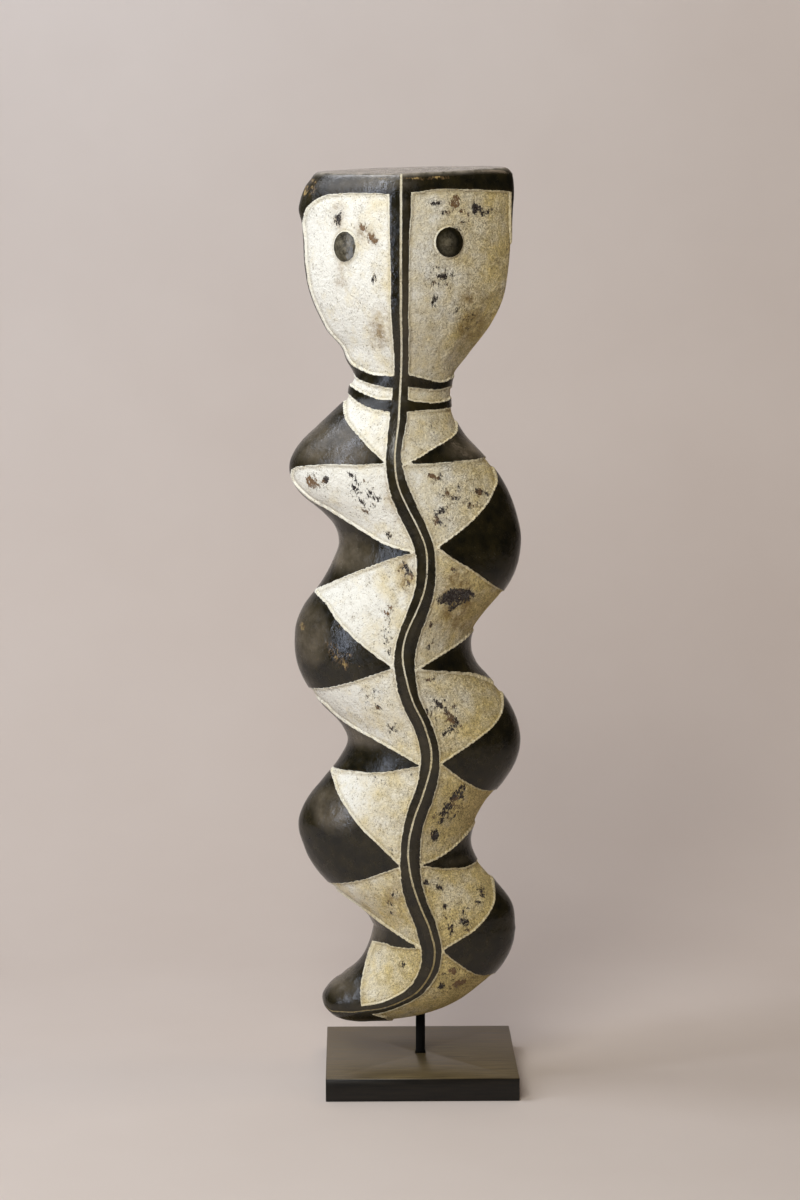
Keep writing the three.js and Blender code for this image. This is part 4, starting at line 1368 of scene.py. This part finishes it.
    def build(self) -> bpy.types.Object:
        """Makes the mesh and dresses it.

        Returns:
            The carving.
        """
        count = len(self.runs), len(self.turns) - 2
        row, column = (g.astype(float) for g in np.meshgrid(np.arange(count[0]), np.arange(count[1]), indexing="ij"))
        value = self.edge(row.ravel(), column.ravel()).reshape(count)
        found = self.snap(row, column, value)
        faces = self.triangles(value)
        flat = np.append(value.ravel(), [-self.pattern.reach] * 2)
        rows, columns = row.ravel(), column.ravel()
        corners = flat[faces]
        cream = corners.sum(1) > 0
        blank = np.flatnonzero((corners == 0).all(1))
        if len(blank):
            middle = self.edge(rows[faces[blank]].mean(1), columns[faces[blank]].mean(1))
            cream[blank] = middle > 0
        # Two points for each one on an outline: the black edge above and the cream edge below
        on_line = np.flatnonzero(found.ravel())
        by_row, by_column = self.slope(rows[on_line], columns[on_line])
        steep = np.maximum(by_row**2 + by_column**2, self.least_steepness)
        step_row, step_column = (
            np.clip(self.wall * change / steep, -self.most_wall_step, self.most_wall_step)
            for change in (by_row, by_column)
        )
        low_row, low_column = rows[on_line] + step_row, columns[on_line] + step_column
        rows[on_line] -= step_row
        columns[on_line] -= step_column
        total = len(flat)
        low = np.arange(total)
        low[on_line] = total + np.arange(len(on_line))
        walls = self.walls(faces, cream, flat, total, low)
        faces = np.where(cream[:, None], low[faces], faces)
        all_rows, all_columns = np.concatenate([rows, low_row]), np.concatenate([columns, low_column])
        points = self.surface(all_rows, all_columns)
        normal = self.outward(all_rows, all_columns)
        run, turn, shift = self.at(all_rows, all_columns)
        is_cream = np.concatenate([value.ravel() > 0, np.ones(len(on_line), bool)])
        sunk = self.depth(points, run, turn, shift, is_cream)
        at_front = (np.abs(turn) < 90) & (run > -self.rim_run)
        half = along(LINE_HALF_WIDTH, self.form.top - run)
        line = np.where(at_front, half - self.line_distance(run, turn, shift), -self.pattern.reach)
        points = points - normal * sunk[:, None]
        edge = self.edge(all_rows, all_columns)
        # The two poles come after the grid's points and before the lower edges
        last = total - 2
        points = np.vstack([points[:last], self.poles(), points[last:]])
        far = [-self.pattern.reach] * 2
        ends = ((run, self.runs[[0, -1]]), (turn, [0, 0]), (line, far), (edge, far))
        run, turn, line, edge = (np.insert(kept, last, end) for kept, end in ends)
        return self.finished(points, np.vstack([faces, walls]), self.wear(points, run, turn, line, edge))

    def depth(
        self, points: np.ndarray, run: np.ndarray, turn: np.ndarray, shift: np.ndarray, is_cream: np.ndarray
    ) -> np.ndarray:
        """How deep the carved surface lies under the smooth form.

        Args:
            points: (x, y, z) rows on the form.
            run: distance down the carving.
            turn: degrees round the section.
            shift: distance to the right of the cream line.
            is_cream: true for a point of the cream fields.

        Returns:
            Millimetres, negative where an eye stands out.
        """
        behind = np.clip((np.abs(turn) - self.behind_from) / self.behind_fade, 0, 1)
        sunk = np.where(is_cream, self.relief + (self.back_relief - self.relief) * behind, 0)
        half = along(LINE_HALF_WIDTH, self.form.top - run)
        grooved = (np.abs(shift) < half) & (turn == 0) & (run > -self.rim_run / 2)
        beside_face = (points[:, 0] < self.face_side[0]) & (points[:, 2] > self.face_side[1])
        sunk = np.where(beside_face, sunk * (self.shallow_side + (1 - self.shallow_side) * side_room(points)), sunk)
        sunk = sunk + np.where(grooved, self.groove, 0)
        for eye in self.pattern.eyes:
            out = ((points[:, 0] - eye.x) / eye.half_width) ** 2 + ((points[:, 2] - eye.z) / eye.half_height) ** 2
            sunk = sunk - np.where(np.abs(turn) < 90, self.eye_dome * np.clip(1 - out, 0, 1), 0)
        return sunk + self.unevenness(points)

    def wear(
        self, points: np.ndarray, run: np.ndarray, turn: np.ndarray, line: np.ndarray, edge: np.ndarray
    ) -> dict[str, np.ndarray]:
        """What the paint reads at each point: its place in the pattern, and its wear and painted sheen from 0 to 1.

        Args:
            points: (x, y, z) rows.
            run: distance down the carving.
            turn: degrees round the section.
            line: millimetres into the centre line.
            edge: millimetres into a cream field.

        Returns:
            The values by name.
        """
        flat = points[:, [0, 2]]
        front = np.clip((self.front_until - np.abs(turn)) / self.front_fade, 0, 1)
        # A chip is bare nearly from its edge on, and the flecks round it are loose specks
        chips, flecks = spots_at(flat, CHIPS), np.minimum(spots_at(flat, FLECKS), 6)
        flaked = np.maximum(0.68 + np.minimum(chips / 7, 0.27 + chips / 50), 0.3 + flecks / 25)
        worn = {name: wear.at(flat) for name, wear in WEAR.items()}
        # Painted sheen on the black spine band below the head, where the light from the left shines
        spine = self.spine_painted_sheen * np.clip((line + self.spine_painted_sheen_reach) / self.spine_painted_sheen_fade, 0, 1)
        spine = spine * (points[:, 2] < self.spine_painted_sheen_top)
        return {
            "field_edge": edge,
            "line_edge": line,
            "flakes": np.clip(flaked, 0.12, 1) * (0.2 + 0.8 * front),
            "stains": worn["stains"] * front,
            "rubbed": np.maximum(worn["rubbed"], worn["worn_through"]) * front,
            "patina": worn["patina"] * front,
            "painted_sheen": np.maximum(worn["painted_sheen"], spine) * front,
            "rusty": worn["rusty"] * front,
            "age": (worn["darker_cream"] - worn["lighter_cream"]) * front,
            # Dust on the top, laid on lighter: partly a painted sheen of the light from above
            "dust": np.clip((-run / self.rim_run - 0.25) / 0.55, 0, 1) * 0.8,
        }

    def walls(self, faces: np.ndarray, cream: np.ndarray, flat: np.ndarray, total: int, low: np.ndarray) -> np.ndarray:
        """Slanted walls between the black edges and the cream edges.

        Args:
            faces: triangles as vertex numbers.
            cream: true for a cream triangle.
            flat: distance into the cream at each vertex.
            total: number of vertices.
            low: number of each vertex's lower twin.

        Returns:
            Triangles of the walls.
        """
        edges = np.vstack([faces[:, [0, 1]], faces[:, [1, 2]], faces[:, [2, 0]]])
        owner = np.tile(cream, 3)
        lies = (flat[edges] == 0).all(1)
        dark, pale = edges[lies & ~owner], edges[lies & owner]
        shared = np.isin(dark[:, 0] * total + dark[:, 1], pale[:, 1] * total + pale[:, 0])
        p, q = dark[shared].T
        return np.vstack([np.column_stack([q, p, low[p]]), np.column_stack([q, low[p], low[q]])])

    def poles(self) -> np.ndarray:
        """Points that close the mesh.

        Returns:
            Two (x, y, z) rows: the middle of the top, and the tip of the tail.
        """
        form = self.form
        a = math.radians(form.tail_end)
        x, z = form.pivot[0] + form.tip * math.cos(a), form.pivot[1] - form.tip * math.sin(a)
        tip = (x, -form.turned * (x - form.turned_from), z)
        return np.array([(form.top_centre, 0, form.top_height + form.dome), tip])

    def line_distance(self, run: np.ndarray, turn: np.ndarray, shift: np.ndarray) -> np.ndarray:
        """Distance from the cream line along the front.

        Args:
            run: distance down the carving.
            turn: degrees round the section.
            shift: distance to the right of the cream line.

        Returns:
            Millimetres.
        """
        form = self.form
        here = form.place(np.maximum(run, 0), turn, shift)
        line = form.place(np.maximum(run, 0), np.zeros_like(turn), np.zeros_like(shift))
        return np.linalg.norm(here - line, axis=-1)

    def unevenness(self, points: np.ndarray) -> np.ndarray:
        """Slight waviness left by the adze.

        Args:
            points: (x, y, z) rows.

        Returns:
            Millimetres into the surface.
        """
        (long, high), (short, low) = self.broad_wave, self.small_wave
        broad = np.array([noise.noise(Vector(p) / long) for p in points])
        small = np.array([noise.noise(Vector(p) / short + Vector((7, 3, 1))) for p in points])
        return high * broad + low * small

    def finished(self, points: np.ndarray, faces: np.ndarray, values: dict[str, np.ndarray]) -> bpy.types.Object:
        """Makes the object, with its finish.

        Args:
            points: (x, y, z) rows in millimetres.
            faces: triangles as point numbers.
            values: what the paint reads at each point, by name.

        Returns:
            The carving.
        """
        used = np.unique(faces)
        number = np.zeros(len(points), int)
        number[used] = np.arange(len(used))
        mesh = bpy.data.meshes.new("carved_snake")
        mesh.from_pydata((points[used] * MM).tolist(), [], number[faces].tolist())
        for name, kept in values.items():
            mesh.attributes.new(name, "FLOAT", "POINT").data.foreach_set("value", kept[used].astype(np.float32))
        mesh.validate()
        made = bpy.data.objects.new("carved_snake", mesh)
        bpy.context.scene.collection.objects.link(made)
        made.data.materials.append(self.finish.material())
        select_only(made)
        bpy.ops.object.shade_smooth_by_angle(angle=math.radians(self.smooth_angle))
        return dress(made, "snake_carving")


def select_only(made: bpy.types.Object) -> None:
    """Selects one object and nothing else.

    Args:
        made: the object.
    """
    bpy.ops.object.select_all(action="DESELECT")
    made.select_set(True)
    bpy.context.view_layer.objects.active = made


def dress(made: bpy.types.Object, node_name: str) -> bpy.types.Object:
    """Lets a piece stand for a solid, whose part it hides, and ride on the part's only body.

    Args:
        made: the piece.
        node_name: the solid it replaces.

    Returns:
        The piece.
    """
    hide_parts(node_name)
    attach(made, "root")
    LOG.info("%s: %d faces", made.name, len(made.data.polygons))
    return made


def block(name: str, low: Vector, high: Vector) -> bpy.types.Object:
    """Makes a box with its place in its mesh.

    Args:
        name: the piece's name.
        low: lowest corner in metres.
        high: highest corner in metres.

    Returns:
        The box.
    """
    bpy.ops.object.select_all(action="DESELECT")
    bpy.ops.mesh.primitive_cube_add(size=1, location=(low + high) / 2, scale=high - low)
    made = bpy.context.object
    made.name = made.data.name = name
    bpy.ops.object.transform_apply(location=True, rotation=True, scale=True)
    return made


def bevelled(made: bpy.types.Object, width: float) -> None:
    """Rounds all sharp edges and smooths the piece.

    Args:
        made: the piece.
        width: width of the rounding in millimetres.
    """
    select_only(made)
    modifier = made.modifiers.new("round", "BEVEL")
    modifier.width = width * MM
    modifier.segments = BEVEL_SEGMENTS
    modifier.limit_method = "ANGLE"
    modifier.harden_normals = True
    bpy.ops.object.modifier_apply(modifier=modifier.name)
    bpy.ops.object.shade_smooth_by_angle(angle=math.radians(BEVEL_SMOOTH_ANGLE))


@dataclass
class MountingBar:
    """Square steel bar from the board into the carving."""

    finish: BlackenedSteel
    corner: float = 0.9
    weld_root: float = -0.2
    weld_foot: float = 0.1
    weld_height: float = 4
    weld_reach: float = 1.6

    def build(self) -> bpy.types.Object:
        """Makes the bar with a small weld where it leaves the board.

        Returns:
            The bar.
        """
        low, high = (Vector(corner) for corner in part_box("mounting_rod"))
        board_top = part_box("base_board")[1][2]
        made = block("mounting_bar", low, high)
        select_only(made)
        bpy.ops.object.mode_set(mode="EDIT")
        for height in (self.weld_root, self.weld_foot, self.weld_height):
            bpy.ops.mesh.select_all(action="SELECT")
            bpy.ops.mesh.bisect(plane_co=(0, 0, board_top + height * MM), plane_no=(0, 0, 1))
        bpy.ops.object.mode_set(mode="OBJECT")
        grown = 1 + self.weld_reach * MM / (high.x - low.x)
        for vertex in made.data.vertices:
            if abs(vertex.co.z - board_top - self.weld_foot * MM) < self.weld_foot * MM / 2:
                vertex.co.x *= grown
                vertex.co.y *= grown
        bevelled(made, self.corner)
        made.data.materials.append(self.finish.material())
        return dress(made, "mounting_rod")


@dataclass
class BaseBoard:
    """Square board with softened edges and the pocket that holds the bar."""

    finish: StainedBoard
    corner: float = 1.5
    pocket_side: float = 16.6
    pocket_depth: float = 15

    def build(self) -> bpy.types.Object:
        """Makes the board.

        Returns:
            The board.
        """
        low, high = (Vector(corner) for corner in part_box("base_board"))
        made = block("base_plank", low, high)
        for face in made.data.polygons:
            face.select = face.normal.z > 0.99
        for loose in (*made.data.vertices, *made.data.edges):
            loose.select = False
        bpy.ops.object.mode_set(mode="EDIT")
        bpy.ops.mesh.select_mode(type="FACE")
        bpy.ops.mesh.inset(thickness=(high.x - low.x - self.pocket_side * MM) / 2)
        bpy.ops.mesh.extrude_region_move(TRANSFORM_OT_translate={"value": (0, 0, -self.pocket_depth * MM)})
        bpy.ops.object.mode_set(mode="OBJECT")
        bevelled(made, self.corner)
        made.data.materials.append(self.finish.material())
        return dress(made, "base_board")


@dataclass(frozen=True)
class Softbox:
    """Soft rectangular light that looks at a point."""

    name: str
    place: tuple[float, float, float]
    target: tuple[float, float, float]
    width: float
    height: float
    power: float
    colour: str

    def build(self) -> None:
        """Adds the light."""
        light = bpy.data.lights.new(self.name, "AREA")
        light.shape = "RECTANGLE"
        light.size, light.size_y = self.width, self.height
        light.energy = self.power
        light.color = linear(self.colour)[:3]
        made = bpy.data.objects.new(self.name, light)
        made.location = self.place
        away = Vector(self.target) - Vector(self.place)
        made.rotation_euler = away.to_track_quat("-Z", "Y").to_euler()
        bpy.context.scene.collection.objects.link(made)


@dataclass
class Studio:
    """Pale sweep of canvas, soft light from the left and the camera."""

    canvas: PaintedCanvas
    camera_place: tuple[float, float, float] = (-0.12100, -4.78932, 1.42200)
    camera_pitch: float = 6.929
    camera_yaw: float = 1.019
    lens: float = 83.96
    half_width: float = 5
    front: float = -6.5
    back: float = 2.4
    wall_height: float = 5
    sweep: float = 1.6
    sweep_segments: int = 24
    sensor: float = 36
    ambient: str = "#e2d5c6"
    ambient_strength: float = 0.045
    lights: tuple[Softbox, ...] = (
        Softbox("front_window", (-1.0, -3.28, 3.31), (0, 0, 0.9), 1.9, 1.9, 115, "#fffdf8"),
        Softbox("high_side_window", (-2.54, -0.22, 3.45), (0, 0, 0.9), 2.2, 2.2, 36, "#e9f0ff"),
        Softbox("side_window", (-3.04, -1.29, 1.8), (0, 0, 1.2), 0.3, 2.9, 29, "#e0eaff"),
        Softbox("left_canvas_wash", (-2.4, 0.2, 4.1), (-0.4, 2.4, 2.9), 2.2, 1.0, 41, "#f4f6ff"),
        Softbox("canvas_wash", (2.4, 0.2, 4.2), (1.3, 2.4, 3.6), 1.8, 1.0, 27, "#ffe0c2"),
        Softbox("floor_wash", (0.3, -3.6, 2.6), (0, -1.9, 0), 2.0, 0.8, 7, "#fff8f2"),
    )

    def build(self) -> None:
        """Adds the sweep, the lights, the surroundings and the camera."""
        self.add_sweep()
        for light in self.lights:
            light.build()
        world = bpy.data.worlds.new("studio")
        bpy.context.scene.world = world
        world.use_nodes = True
        background = world.node_tree.nodes["Background"]
        background.inputs["Color"].default_value = linear(self.ambient)
        background.inputs["Strength"].default_value = self.ambient_strength
        camera = bpy.data.cameras.new("camera")
        camera.lens = self.lens
        camera.sensor_width = self.sensor
        camera.sensor_fit = "AUTO"
        made = bpy.data.objects.new("camera", camera)
        made.location = self.camera_place
        made.rotation_euler = (math.radians(90 - self.camera_pitch), 0, math.radians(-self.camera_yaw))
        bpy.context.scene.collection.objects.link(made)
        bpy.context.scene.camera = made
        bpy.context.scene.view_settings.view_transform = "Standard"

    def add_sweep(self) -> None:
        """Floor and backdrop in one piece with a wide bend."""
        bpy.ops.object.select_all(action="DESELECT")
        middle = (self.front + self.back) / 2
        depth = self.back - self.front
        bpy.ops.mesh.primitive_plane_add(size=1, location=(0, middle, 0))
        made = bpy.context.object
        made.name = made.data.name = "canvas_sweep"
        made.scale = (2 * self.half_width, depth, 1)
        bpy.ops.object.transform_apply(location=True, rotation=True, scale=True)
        at_back = self.back - 0.01
        for edge in made.data.edges:
            edge.select = min(made.data.vertices[i].co.y for i in edge.vertices) > at_back
        for face in made.data.polygons:
            face.select = False
        for vertex in made.data.vertices:
            vertex.select = vertex.co.y > at_back
        bpy.ops.object.mode_set(mode="EDIT")
        bpy.ops.mesh.select_mode(type="EDGE")
        bpy.ops.mesh.extrude_region_move(TRANSFORM_OT_translate={"value": (0, 0, self.wall_height)})
        bpy.ops.object.mode_set(mode="OBJECT")
        modifier = made.modifiers.new("bend", "BEVEL")
        modifier.width = self.sweep
        modifier.segments = self.sweep_segments
        modifier.limit_method = "ANGLE"
        bpy.ops.object.modifier_apply(modifier=modifier.name)
        bpy.ops.object.shade_smooth()
        made.data.materials.append(self.canvas.material())


def main() -> None:
    """Builds the studio and every piece, in order."""
    logging.basicConfig(level=logging.INFO, format="%(name)s: %(message)s")
    Studio(PaintedCanvas()).build()
    form = SnakeForm()
    SnakeCarving(form, CarvedPattern(form), PaintedWood()).build()
    MountingBar(BlackenedSteel()).build()
    BaseBoard(StainedBoard()).build()


if __name__ == "__main__":
    main()
